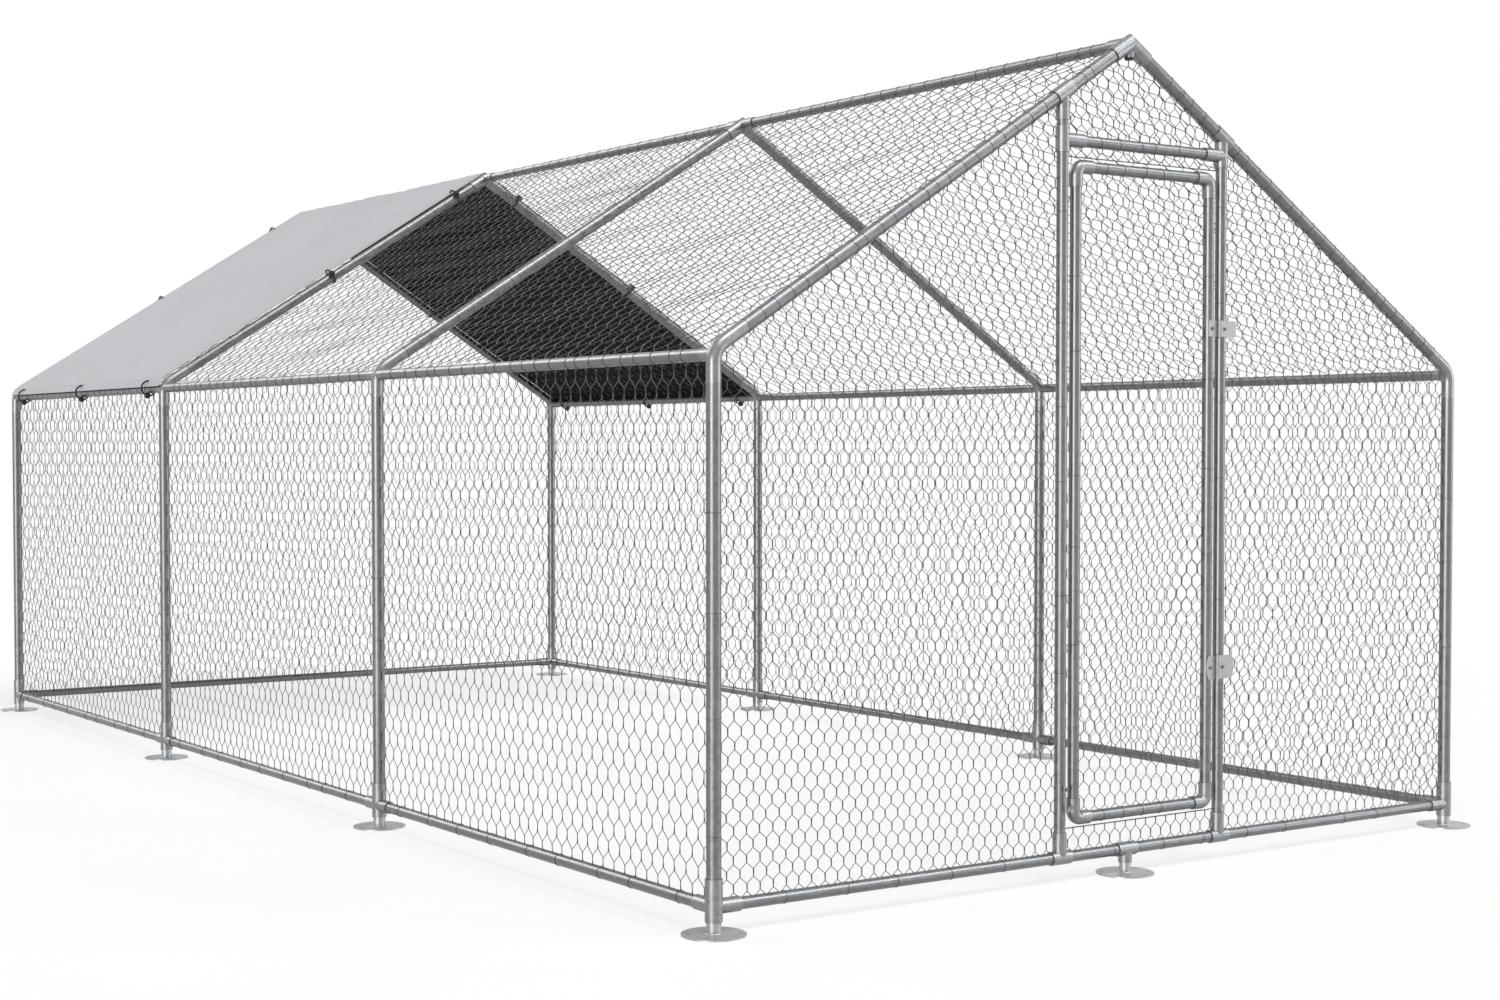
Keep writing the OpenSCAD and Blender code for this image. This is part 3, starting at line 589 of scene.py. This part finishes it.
def netting(node, body, outlines, matrix, seed, width=MESH_FRONT, slack=SLACK, sag=None, edges=()):
    """Hexagonal netting over one or more flat outlines, put in place by a matrix.

    edges holds the ends of the straight wires along the sides that no tube holds."""
    parts = [patch_of(outline, width) for outline in outlines]
    parts += [rod((*start, 0), (*end, 0), EDGE_WIRE_R, 6) for start, end in edges]
    sheet = join(parts, node.replace("net", "netting"))
    for layer in list(sheet.data.uv_layers):
        sheet.data.uv_layers.remove(layer)
    flat = points(sheet)
    bent = flat.copy()
    for axis, (longest, shortest) in enumerate(NET_WAVES):
        bent[:, axis] += waver(flat, seed + axis, slack, longest, shortest)
    if sag:
        bent[:, 2] += sag(flat)
    bake_map(sheet)
    set_points(sheet, bent)
    place(sheet, matrix)
    smooth(sheet, 70)
    dress(sheet, WIRE, body)
    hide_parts(node)


def plane(across, up, origin):
    """The matrix of a panel whose X runs across and Y runs up."""
    across = Vector(across)
    up = Vector(up)
    out = across.cross(up)
    turned = Matrix((across, up, out)).transposed().to_4x4()
    return Matrix.Translation(origin) @ turned


def rectangle(low, high):
    return [low, (high[0], low[1]), high, (low[0], high[1])]


def mirrored(outline):
    return [(-x, z) for x, z in reversed(outline)]


IN_HOOP = HOOP_R - HOLD
IN_RAIL = RAIL_R - HOLD
SLOPE_GAP = IN_HOOP / math.cos(PITCH)
NET_LOW = BASE_Z + IN_RAIL


def under_rafter(x):
    """Height of the netting's upper edge where it meets a rafter."""
    return RIDGE_Z - abs(x) * math.tan(PITCH) - SLOPE_GAP


def bend_spot(turn):
    """A point on the inside of the left eave bend, at a turn from the post's top."""
    reach = BEND_R - IN_HOOP
    return BEND_X - reach * math.cos(turn), BEND_Z + reach * math.sin(turn)


# The inside of the left eave bend, from the rafter down to the post
BEND_EDGE = [bend_spot(TURN * k / 4) for k in (4, 3, 2, 1, 0)]


def wall_netting(side, node, seed):
    outlines = [rectangle((a + IN_HOOP, NET_LOW), (b - IN_HOOP, EAVE_Z - IN_RAIL)) for a, b in BAYS]
    wall = plane((0, 1, 0), (0, 0, 1), (side * SIDE_X, 0, 0))
    netting(node, "frame", outlines, wall, seed, MESH_SIDE)


def roof_netting(side, node, seed):
    outlines = [rectangle((a + IN_HOOP, IN_RAIL), (b - IN_HOOP, RAFTER - IN_RAIL)) for a, b in BAYS]
    up = (-side * math.cos(PITCH), 0, math.sin(PITCH))
    slope = plane((0, 1, 0), up, (side * SIDE_X, 0, CORNER_Z))

    def sag(flat):
        along = np.sin(math.pi * (flat[:, 0] - FRONT_Y) / BAY) ** 2
        return -side * ROOF_SAG * along * np.sin(math.pi * flat[:, 1] / RAFTER)

    netting(node, "frame", outlines, slope, seed, MESH_ROOF, ROOF_SLACK, sag)


def front_outline(edge):
    """The left front panel, from its post to a jamb whose near side is at -edge."""
    return [(-SIDE_X + IN_HOOP, NET_LOW), (-edge, NET_LOW), (-edge, under_rafter(edge)), *BEND_EDGE]


# The gables' netting is cut level here, under the ridge elbows
NET_APEX = 2.285
APEX_X = (RIDGE_Z - SLOPE_GAP - NET_APEX) / math.tan(PITCH)
FRONT = plane((1, 0, 0), (0, 0, 1), (0, FRONT_Y, 0))
REAR = plane((1, 0, 0), (0, 0, 1), (0, REAR_Y, 0))
GAP_LEFT = JAMB_LEFT + IN_RAIL
GAP_RIGHT = JAMB_RIGHT - IN_RAIL
GABLE = [
    (GAP_LEFT, LINTEL_Z + IN_RAIL),
    (GAP_RIGHT, LINTEL_Z + IN_RAIL),
    (GAP_RIGHT, under_rafter(GAP_RIGHT)),
    (APEX_X, NET_APEX),
    (-APEX_X, NET_APEX),
    (GAP_LEFT, under_rafter(GAP_LEFT)),
]
REAR_END = [
    (-SIDE_X + IN_HOOP, NET_LOW),
    (SIDE_X - IN_HOOP, NET_LOW),
    *mirrored(BEND_EDGE),
    (APEX_X, NET_APEX),
    (-APEX_X, NET_APEX),
    *BEND_EDGE,
]
# The strips below and above the door end in edge wires, clear of its rails
STRIP_CLEAR = 0.0255
STRIP_TOP = DOOR_LOW - STRIP_CLEAR
STRIP_FOOT = DOOR_HIGH + STRIP_CLEAR
STRIPS = [
    rectangle((GAP_LEFT, NET_LOW), (GAP_RIGHT, STRIP_TOP)),
    rectangle((GAP_LEFT, STRIP_FOOT), (GAP_RIGHT, LINTEL_Z - IN_RAIL)),
]
STRIP_EDGES = [((GAP_LEFT, z), (GAP_RIGHT, z)) for z in (STRIP_TOP, STRIP_FOOT)]
DOOR_FACE = rectangle(
    (STILE_LEFT + IN_RAIL, DOOR_LOW + IN_RAIL), (STILE_RIGHT - IN_RAIL, DOOR_HIGH - IN_RAIL))

wall_netting(-1, "net_wall_left", 11)
wall_netting(1, "net_wall_right", 21)
roof_netting(-1, "net_roof_left", 31)
roof_netting(1, "net_roof_right", 41)
netting("net_front_left", "frame", [front_outline(-JAMB_LEFT + IN_RAIL)], FRONT, 51)
netting("net_front_right", "frame", [mirrored(front_outline(JAMB_RIGHT + IN_RAIL))], FRONT, 61)
netting("net_front_gable", "frame", [GABLE], FRONT, 71)
netting("net_door_strips", "frame", STRIPS, FRONT, 81, slack=STRIP_SLACK, edges=STRIP_EDGES)
netting("net_rear", "frame", [REAR_END], REAR, 91, MESH_SIDE)
netting("door_net", "door", [DOOR_FACE], FRONT, 101, slack=DOOR_SLACK)
for weave in WEAVES.values():
    bpy.data.objects.remove(weave)

# Tie wires wound round the tubes to hold the netting, and how far apart they are
TIE_WIRE_R = 0.001
RAFTER_TIES = 0.055
RAIL_TIES = 0.075
BASE_TIES = 0.19
POST_TIES = 0.26
# How far the middle of the wire stands out from the tube, as a share of its radius
TIE_PROUD = 0.6
# Most tilt of a ring, and most shift along the tube as a share of the distance between rings
TIE_TILT = 0.12
TIE_SHIFT = 0.2
# Heights between which posts and jambs have ties
TIES_LOW = 0.16
POST_TIES_HIGH = 1.34
JAMB_TIES_HIGH = 2.0
# Distances from the corner of the hoop: a rafter's ties, and the one where its bend ends
RAFTER_TIES_FROM = 0.14
RAFTER_TIES_TO = 1.57
BEND_TIE = BEND_TAN + 0.08
BEND_TIE_HALF = 0.005
# Lengths without ties at the ends of the eave tubes and lintel, the other rails, and the door's tubes
EAVE_END = 0.08
RAIL_END = 0.09
DOOR_END = 0.075
# Half lengths without ties at the rafter tees, the base tees, the hinges and the hook
RAFTER_TEE_HALF = 0.06
BASE_TEE_HALF = 0.05
HINGE_HALF = 0.06
HOOK_HALF = 0.03


def drop_rings(row, bare, ring_size):
    """Deletes some of the rings in a row."""
    clear_selection(row, "VERT")
    for k in bare:
        for spot in row.data.vertices[k * ring_size:(k + 1) * ring_size]:
            spot.select = True
    bpy.ops.object.mode_set(mode="EDIT")
    bpy.ops.mesh.delete(type="VERT")
    done()


def tie_wires(start, end, radius, step, seed, skip=()):
    """A row of thin wire rings round one tube. skip holds distances from the start that stay bare."""
    start = Vector(start)
    run = Vector(end) - start
    count = max(1, int(run.length / step))
    row = ring("tie_wires", radius + TIE_WIRE_R * TIE_PROUD, TIE_WIRE_R, 14, 3)
    ring_size = len(row.data.vertices)
    repeat(row, count, (0, 0, step))
    dice = np.random.default_rng(seed)
    shape = points(row).reshape(count, ring_size, 3)
    middles = np.arange(count) * step
    shape[:, :, 2] -= middles[:, None]
    tilt = dice.uniform(-TIE_TILT, TIE_TILT, (count, 2))
    shape[:, :, 2] += shape[:, :, 0] * tilt[:, :1] + shape[:, :, 1] * tilt[:, 1:]
    middles += step / 2 + dice.uniform(-TIE_SHIFT, TIE_SHIFT, count) * step
    shape[:, :, 2] += middles[:, None]
    set_points(row, shape.reshape(-1, 3))
    bare = [k for k in range(count) if any(a < middles[k] < b for a, b in skip)]
    if bare:
        drop_rings(row, bare, ring_size)
    return place(row, facing(start, run))


def bare_at(places, start, half):
    """Stretches that stay bare round some places on a tube, as distances from where its ties start."""
    return [(spot - start - half, spot - start + half) for spot in places]


def on_rafter(side, y, along):
    """A point on a rafter's middle line, at a distance from the corner of its hoop."""
    x = side * SIDE_X - side * along * math.cos(PITCH)
    return Vector((x, y, CORNER_Z + along * math.sin(PITCH)))


def upright(x, y, low, high):
    return (x, y, low), (x, y, high)


def level(y, z, left, right):
    return (left, y, z), (right, y, z)


def lengthwise(x, z, bay, end):
    return (x, bay[0] + end, z), (x, bay[1] - end, z)


def hoop_ties(side, y, seed):
    """Ties on one post, on its rafter and at the end of its bend."""
    post = upright(side * SIDE_X, y, TIES_LOW, POST_TIES_HIGH)
    rafter = (on_rafter(side, y, RAFTER_TIES_FROM), on_rafter(side, y, RAFTER_TIES_TO))
    jamb = JAMB_LEFT if side < 0 else JAMB_RIGHT
    tee = RAFTER - abs(jamb) / math.cos(PITCH)
    skip = bare_at([tee], RAFTER_TIES_FROM, RAFTER_TEE_HALF) if y == FRONT_Y else []
    spot = on_rafter(side, y, BEND_TIE)
    reach = Vector((-side * math.cos(PITCH), 0, math.sin(PITCH))) * BEND_TIE_HALF
    return [
        tie_wires(*post, HOOP_R, POST_TIES, seed),
        tie_wires(*rafter, HOOP_R, RAFTER_TIES, seed + 1, skip),
        tie_wires(spot - reach, spot + reach, HOOP_R, 2 * BEND_TIE_HALF, seed),
    ]


def frame_tie_wires():
    rows = []
    seed = 200
    for side in (-1, 1):
        for y in HOOP_Y:
            rows += hoop_ties(side, y, seed)
            seed += 2
        for bay in BAYS:
            eave = lengthwise(side * EAVE_X, EAVE_Z, bay, EAVE_END)
            base = lengthwise(side * SIDE_X, BASE_Z, bay, RAIL_END)
            rows.append(tie_wires(*eave, RAIL_R, RAIL_TIES, seed))
            rows.append(tie_wires(*base, RAIL_R, BASE_TIES, seed + 1))
            seed += 2
    for bay in BAYS:
        rows.append(tie_wires(*lengthwise(0, RIDGE_Z, bay, RAIL_END), RAIL_R, RAIL_TIES, seed))
        seed += 1
    reach = SIDE_X - RAIL_END
    tees = bare_at((JAMB_LEFT, 0, JAMB_RIGHT), -reach, BASE_TEE_HALF)
    hook = bare_at([HOOK_Z], TIES_LOW, HOOK_HALF)
    hinges = bare_at(HINGE_Z, TIES_LOW, HINGE_HALF)
    front_base = level(FRONT_Y, BASE_Z, -reach, reach)
    rear_base = level(REAR_Y, BASE_Z, -reach, reach)
    left_jamb = upright(JAMB_LEFT, FRONT_Y, TIES_LOW, JAMB_TIES_HIGH)
    right_jamb = upright(JAMB_RIGHT, FRONT_Y, TIES_LOW, JAMB_TIES_HIGH)
    lintel = level(FRONT_Y, LINTEL_Z, GAP_LEFT + EAVE_END, GAP_RIGHT - EAVE_END)
    rows.append(tie_wires(*front_base, RAIL_R, BASE_TIES, seed, tees))
    rows.append(tie_wires(*rear_base, RAIL_R, BASE_TIES, seed + 1))
    rows.append(tie_wires(*left_jamb, RAIL_R, POST_TIES, seed + 2, hook))
    rows.append(tie_wires(*right_jamb, RAIL_R, POST_TIES, seed + 3, hinges))
    rows.append(tie_wires(*lintel, RAIL_R, RAIL_TIES, seed + 4))
    dress(smooth(join(rows, "tie_wires_frame"), 180), WIRE, "frame")


def door_tie_wires():
    low = DOOR_LOW + DOOR_END
    high = DOOR_HIGH - DOOR_END
    hinges = bare_at(HINGE_Z, low, HINGE_HALF)
    left_stile = upright(STILE_LEFT, FRONT_Y, low, high)
    right_stile = upright(STILE_RIGHT, FRONT_Y, low, high)
    rows = [
        tie_wires(*left_stile, RAIL_R, POST_TIES, 301),
        tie_wires(*right_stile, RAIL_R, POST_TIES, 302, hinges),
    ]
    for k, z in enumerate((DOOR_LOW, DOOR_HIGH)):
        rail = level(FRONT_Y, z, STILE_LEFT + DOOR_END, STILE_RIGHT - DOOR_END)
        rows.append(tie_wires(*rail, RAIL_R, RAIL_TIES, 303 + k))
    dress(smooth(join(rows, "tie_wires_door"), 180), WIRE, "door")


frame_tie_wires()
door_tie_wires()

# Weld beads where the stubs stand on the foot plates
FOOT_T = 0.004
BEAD_R = 0.0027
# Ripples and lumps round a bead: how many, and how high as shares of its radius
RIPPLES = 24
RIPPLE = 0.16
LUMPS = 5
LUMP = 0.1


def weld_bead(radius):
    """A lumpy ring of weld round a stub."""
    bead = ring("weld_bead", radius, BEAD_R, 72, 8)
    shape = points(bead)
    angle = np.arctan2(shape[:, 1], shape[:, 0])
    swell = 1 + RIPPLE * np.sin(RIPPLES * angle) + LUMP * np.sin(LUMPS * angle + 1)
    away = np.hypot(shape[:, 0], shape[:, 1])
    shape[:, :2] *= ((radius + (away - radius) * swell) / away)[:, None]
    shape[:, 2] *= swell
    set_points(bead, shape)
    return bead


def weld_beads():
    """A bead on each foot, each turned by another angle."""
    model = weld_bead(HOOP_R)
    beads = []
    for side in (-1, 1):
        for y in HOOP_Y:
            spot = Matrix.Translation((side * SIDE_X, y, FOOT_T))
            beads.append(place(twin(model, "weld_bead"), spot @ Matrix.Rotation(y, 4, "Z")))
    bpy.data.objects.remove(model)
    beads.append(place(weld_bead(RAIL_R), Matrix.Translation((0, FRONT_Y, FOOT_T))))
    dress(smooth(join(beads, "foot_welds"), 180), FOOT, "frame")


weld_beads()

# Tarpaulin over the rear bay: its thickness, its room over the hoops' sleeves, and its two ends
TARP_T = 0.0012
TARP_CLEAR = 0.0005
TARP_FROM = HOOP_Y[2] + 0.002
TARP_TO = REAR_Y + 0.008
# Distance from a rafter's middle line to the middle of the sheet
TARP_N = HOOP_SLEEVE + TARP_CLEAR + TARP_T / 2
TARP_EAVE_R = BEND_R + TARP_N
TARP_ARC = TARP_EAVE_R * (TURN - RAIL_TURN)
# Radius of the fold over the ridge at the hoops and half way between them
FOLD_TIGHT = 0.006
FOLD_SLACK = 0.02
# Width of the step beside the hem, how far the doubled hem stands up, and how deep the sheet sinks
HEM_STEP = 0.0015
HEM_LIFT = 0.0014
HOLLOW = 0.0095
# Heights of its creases, and of those that only the slack middle of the bay has
CREASE = 0.0016
PULL = 0.0012
# The sheet lies flat this far from its edges, and is fully creased after this distance more
FLAT_EDGE = 0.02
FLAT_FADE = 0.12


def slope_length(fold):
    """Length of the sheet's straight slope, from the eave bend to the start of the ridge's fold."""
    return RAFTER - BEND_TAN - (fold - TARP_N) * math.tan(PITCH)


def half_width(fold):
    """Distance on the sheet from a hem to the ridge."""
    return TARP_ARC + slope_length(fold) + fold * PITCH


def tarp_point(s, fold):
    """Place (x, z) and outward normal on the left half at the distance s from the left hem."""
    straight = slope_length(fold)
    if s < TARP_ARC:
        a = RAIL_TURN + s / TARP_EAVE_R
        x = BEND_X - TARP_EAVE_R * math.cos(a)
        return (x, BEND_Z + TARP_EAVE_R * math.sin(a)), (-math.cos(a), math.sin(a))
    if s < TARP_ARC + straight:
        t = s - TARP_ARC + BEND_TAN
        normal = (-math.sin(PITCH), math.cos(PITCH))
        x = -SIDE_X + t * math.cos(PITCH) + TARP_N * normal[0]
        z = CORNER_Z + t * math.sin(PITCH) + TARP_N * normal[1]
        return (x, z), normal
    a = PITCH - (s - TARP_ARC - straight) / fold
    centre_z = RIDGE_Z + (TARP_N - fold) / math.cos(PITCH)
    return (-fold * math.sin(a), centre_z + fold * math.cos(a)), (-math.sin(a), math.cos(a))


def hollow(up, middle):
    """How far the sheet sinks, at a share of the way up its slope. middle is 1 half way between the hoops."""
    if up >= 0.98:
        return 0
    return -HOLLOW * middle ** 1.4 * math.sin(math.pi * min(1, up * 1.02)) ** 0.8


def sheet_lines(half, length):
    """Where the sheet's mesh has its lines, across from hem to hem and along the run.

    They lie closest at the hems, the eaves and the ridge."""
    eave = np.linspace(HEM + 0.02, 0.2, 8)
    slope = np.linspace(0.23, half - 0.06, 52)
    ridge = np.linspace(half - 0.05, half, 12)
    across = sorted({0, HEM, HEM + HEM_STEP, *eave, *slope, *ridge})
    across += [2 * half - s for s in reversed(across[:-1])]
    inner = np.linspace(HEM + 0.02, length - HEM - 0.02, 66)
    along = sorted({0, HEM, HEM + HEM_STEP, *inner, length - HEM - HEM_STEP, length - HEM, length})
    return np.array(across), np.array(along)


def tarpaulin():
    """One sheet draped over the rear bay, tied along both eaves and both end hoops."""
    half = half_width(FOLD_TIGHT)
    length = TARP_TO - TARP_FROM
    across, along = sheet_lines(half, length)
    columns = len(across) - 1
    lines = len(along) - 1
    bpy.ops.object.select_all(action="DESELECT")
    bpy.ops.mesh.primitive_grid_add(x_subdivisions=columns, y_subdivisions=lines, size=1)
    sheet = last_made("tarpaulin")
    grid = points(sheet)
    column = np.rint((grid[:, 0] + 0.5) * columns).astype(int)
    line = np.rint((grid[:, 1] + 0.5) * lines).astype(int)
    flat = np.stack([across[column], along[line]], axis=1)
    crease = waver(flat, 401, CREASE, 0.7, 0.09)
    pull = waver(flat, 402, PULL, 0.35, 0.06)
    placed = np.empty_like(grid)
    for k, (s, t) in enumerate(flat):
        right = s > half
        mine = 2 * half - s if right else s
        middle = math.sin(math.pi * t / length)
        fold = FOLD_TIGHT + (FOLD_SLACK - FOLD_TIGHT) * middle ** 2
        (x, z), normal = tarp_point(mine * half_width(fold) / half, fold)
        edge = min(mine, t, length - t)
        loose = min(1, max(0, (edge - FLAT_EDGE) / FLAT_FADE))
        lift = hollow(mine / half, middle) + loose * (crease[k] + pull[k] * middle)
        if edge <= HEM + 1e-6:
            lift += HEM_LIFT
        x += normal[0] * lift
        z += normal[1] * lift
        placed[k] = (-x if right else x, TARP_FROM + t, z)
    set_points(sheet, placed)
    shares = flat[corner_points(sheet)] / (2 * half, length)
    sheet.data.uv_layers.active.data.foreach_set("uv", shares.ravel())
    sheet.data.materials.append(SILVER)
    sheet.data.materials.append(LINING)
    thick = sheet.modifiers.new("Thickness", "SOLIDIFY")
    thick.thickness = TARP_T
    thick.offset = 0
    thick.material_offset = 1
    only(sheet)
    bpy.ops.object.modifier_apply(modifier=thick.name)
    smooth(sheet, 50)
    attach(sheet, "frame")
    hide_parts("tarp")
    return sheet, (2 * half, length)


sheet, cut = tarpaulin()

# Metal eyelets where the ties pass through the sheet
TIE_R = 0.029
TIE_CORD_R = 0.0034
TIE_SEAT = 0.0003
RAIL_SHIFT = TIE_R - TIE_CORD_R - RAIL_R - TIE_SEAT
HOOP_SHIFT = TIE_R - TIE_CORD_R - HOOP_R - TIE_SEAT
# Places of the ties, as shares of the bay and of the rafter
TIE_PLACES = (0.08, 0.5, 0.92)
RAFTER_PLACES = (0.5, 0.9)
EYELET_R = 0.0096
EYELET_ROLL = 0.0026
# Height of an eyelet's rolled edge as a share of its width
EYELET_FLAT = 0.75


def eyelet(spot, normal):
    """A pressed ring, rolled over both faces of the sheet."""
    rim = ring("eyelet", EYELET_R, EYELET_ROLL, 28, 8)
    shape = points(rim)
    shape[:, 2] *= EYELET_FLAT
    set_points(rim, shape)
    return place(rim, facing(spot, normal))


def eyelets():
    """Eyelets where each tie's loop meets the sheet, at the eaves and on the end rafters."""
    rims = []
    loop = BEND_R + RAIL_SHIFT
    swing = math.acos((TARP_EAVE_R ** 2 + loop ** 2 - TIE_R ** 2) / (2 * TARP_EAVE_R * loop))
    a = RAIL_TURN + swing
    eave_x = BEND_X - TARP_EAVE_R * math.cos(a)
    eave_z = BEND_Z + TARP_EAVE_R * math.sin(a)
    tie_side = math.sqrt(TIE_R ** 2 - (TARP_N - HOOP_SHIFT) ** 2)
    for side in (-1, 1):
        for share in TIE_PLACES:
            spot = (-side * eave_x, HOOP_Y[2] + share * BAY, eave_z)
            rims.append(eyelet(spot, (side * math.cos(a), 0, math.sin(a))))
        normal = (side * math.sin(PITCH), 0, math.cos(PITCH))
        for y in (HOOP_Y[2] + tie_side, REAR_Y - tie_side):
            for share in RAFTER_PLACES:
                along = share * RAFTER
                x = side * (SIDE_X - along * math.cos(PITCH)) + TARP_N * normal[0]
                z = CORNER_Z + along * math.sin(PITCH) + TARP_N * normal[2]
                rims.append(eyelet((x, y, z), normal))
    return dress(smooth(join(rims, "tarp_eyelets"), 180), PLATED, "frame")


rings = eyelets()

# Bent wire hook on the left jamb
HOOK_WIRE_R = 0.0025
# Distance of its middle line behind the front of the CAD hook
HOOK_SEAT = 0.0033
HOOK_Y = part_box("door_hook")[0][1] + HOOK_SEAT
HOOK_LEN = 0.062
HOOK_CURL = 0.007
HOOK_EYE = 0.0052
# Where the eye's wire starts and how far it goes round, in degrees
EYE_START = -62
EYE_TURN = 305
# Length of the slanted neck below the eye and of the bend that brings it straight
HOOK_NECK = 0.006
NECK_BEND = 0.005
NECK_SHIFT = 0.0012
# How far the tip runs on past the curl, and outwards
TIP_RISE = 0.006
TIP_OUT = 0.0008


def arc(centre, radius, start, turn, steps):
    """Points (x, z) on an arc, which starts and turns by degrees."""
    angles = [math.radians(start + turn * k / steps) for k in range(steps + 1)]
    return [(centre[0] + radius * math.cos(a), centre[1] + radius * math.sin(a)) for a in angles]


def hook_path():
    """The middle line of the hook's wire, in its own plane, as (x, z)."""
    neck = -HOOK_EYE - HOOK_NECK
    low = -HOOK_LEN + HOOK_CURL
    eye = arc((0, 0), HOOK_EYE, EYE_START, EYE_TURN, 22)
    shank = [(-NECK_SHIFT, neck), (0, neck - NECK_BEND), (0, neck + (low - neck) * 0.5)]
    curl = arc((HOOK_CURL, low), HOOK_CURL, 180, 180, 12)
    return eye + shank + curl + [(2 * HOOK_CURL + TIP_OUT, low + TIP_RISE)]


def swept_wire(name, path, radius, sides):
    """A round wire that follows a path, extruded step by step from a closed end."""
    spots = [Vector(p) for p in path]
    heading = (spots[1] - spots[0]).normalized()
    bpy.ops.object.select_all(action="DESELECT")
    bpy.ops.mesh.primitive_circle_add(vertices=sides, radius=radius, fill_type="NGON", location=spots[0],
                                      rotation=heading.to_track_quat("Z", "Y").to_euler())
    wire = settle(last_made(name))
    section = points(wire) - np.array(spots[0])
    count = len(spots)
    edit(wire)
    for k in range(1, count):
        bpy.ops.mesh.extrude_region_move(TRANSFORM_OT_translate={"value": spots[k] - spots[k - 1]})
    done()
    shape = points(wire).reshape(count, sides, 3)
    for k in range(count):
        ahead = spots[min(k + 1, count - 1)] - spots[max(k - 1, 0)]
        turned = np.array(heading.rotation_difference(ahead).to_matrix())
        shape[k] = section @ turned.T + np.array(spots[k])
    set_points(wire, shape.reshape(-1, 3))
    edit(wire)
    bpy.ops.mesh.normals_make_consistent(inside=False)
    done()
    return smooth(wire, 50)


hook_line = [(JAMB_LEFT + x, HOOK_Y, HOOK_Z + z) for x, z in hook_path()]
hook = swept_wire("wire_hook", hook_line, HOOK_WIRE_R, 10)
dress(hook, PLATED, "hook")
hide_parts("door_hook")

# Floor
FLOOR_SIZE = 120
# Share of the floor that glows white for the camera near the run, and how much more far from it
NEAR_GLOW = 0.78
FAR_GLOW = 0.22
# Distance from the middle of the run over which the floor turns white
WHITE_FROM = 7.5
WHITE_SOFT = 4.0
# Colour of the floor for the light that it throws back at the run
FLOOR_BOUNCE = (0.4, 0.4, 0.4, 1)


def floor_finish():
    """As white as the backdrop far from the run, and near it pale with the run's shadow."""
    ground = Finish("pale_floor", Roughness=0.9, Specular_IOR_Level=0.0)
    seen = ground.seen()
    pale = ground.ramp(ground.noise(2, 2), greys(0.9, 0.92))
    ground.link("Base Color", ground.mix(seen, FLOOR_BOUNCE, pale))
    away = ground.add("ShaderNodeVectorMath", {"operation": "LENGTH"}, {0: ground.where()}, "Value")
    share = seen * (NEAR_GLOW + FAR_GLOW * away.over(WHITE_FROM, WHITE_SOFT))
    shaded = Signal(ground, ground.surface.outputs[0])
    glow = ground.add("ShaderNodeEmission")
    ground.show("Material Output", ground.add("ShaderNodeMixShader", None, {0: share, 1: shaded, 2: glow}))
    return ground.material


bpy.ops.object.select_all(action="DESELECT")
bpy.ops.mesh.primitive_plane_add(size=FLOOR_SIZE, location=(0, 0, 0))
floor = last_made("floor")
floor.data.materials.append(floor_finish())
# The low lamps stand partly below the floor, so it lets their light through
floor.visible_shadow = False

# A white backdrop for the camera and for mirrors, and a weaker white light on everything else
WHITE = (1, 1, 1, 1)
AMBIENT = 0.15
world = bpy.data.worlds.new("studio")
bpy.context.scene.world = world
world.use_nodes = True
sky = Nodes(world.node_tree)
first_light = sky.tree.nodes["Background"]
first_light.inputs["Color"].default_value = WHITE
first_light.inputs["Strength"].default_value = AMBIENT
ambient = Signal(sky, first_light.outputs[0])
backdrop = sky.add("ShaderNodeBackground", None, {"Color": WHITE, "Strength": 1.0})
sky.show("World Output", sky.add("ShaderNodeMixShader", None, {0: sky.seen(), 1: ambient, 2: backdrop}))

# How wide each lamp looks from the run
LAMP_WIDTH = math.radians(24)


def lamp(name, strength, towards):
    """A distant lamp that shines along a direction."""
    light = bpy.data.lights.new(name, "SUN")
    light.energy = strength
    light.angle = LAMP_WIDTH
    holder = bpy.data.objects.new(name, light)
    bpy.context.scene.collection.objects.link(holder)
    holder.rotation_euler = Vector(towards).to_track_quat("-Z", "Y").to_euler()


lamp("left_box", 1.9, (0.88, 0.42, 0.0))
lamp("front_box", 1.0, (-0.85, 0.52, 0.0))
lamp("right_box", 1.3, (-0.57, 0.5, -0.64))
lamp("back_box", 0.8, (0.28, -0.82, -0.49))
lamp("overhead", 1.7, (0.0, 0.4, -0.9))

# Camera
eye = bpy.data.cameras.new("eye")
eye.lens = 53.2
eye.sensor_width = 36
eye.shift_x = 0.006
eye.shift_y = 0.0107
eye.clip_end = 300
viewer = bpy.data.objects.new("eye", eye)
bpy.context.scene.collection.objects.link(viewer)
viewer.location = (-4.433, -7.36, 1.202)
viewer.rotation_euler = (math.radians(88.23), 0, math.radians(-34.63))
bpy.context.scene.camera = viewer
bpy.context.scene.view_settings.view_transform = "Standard"
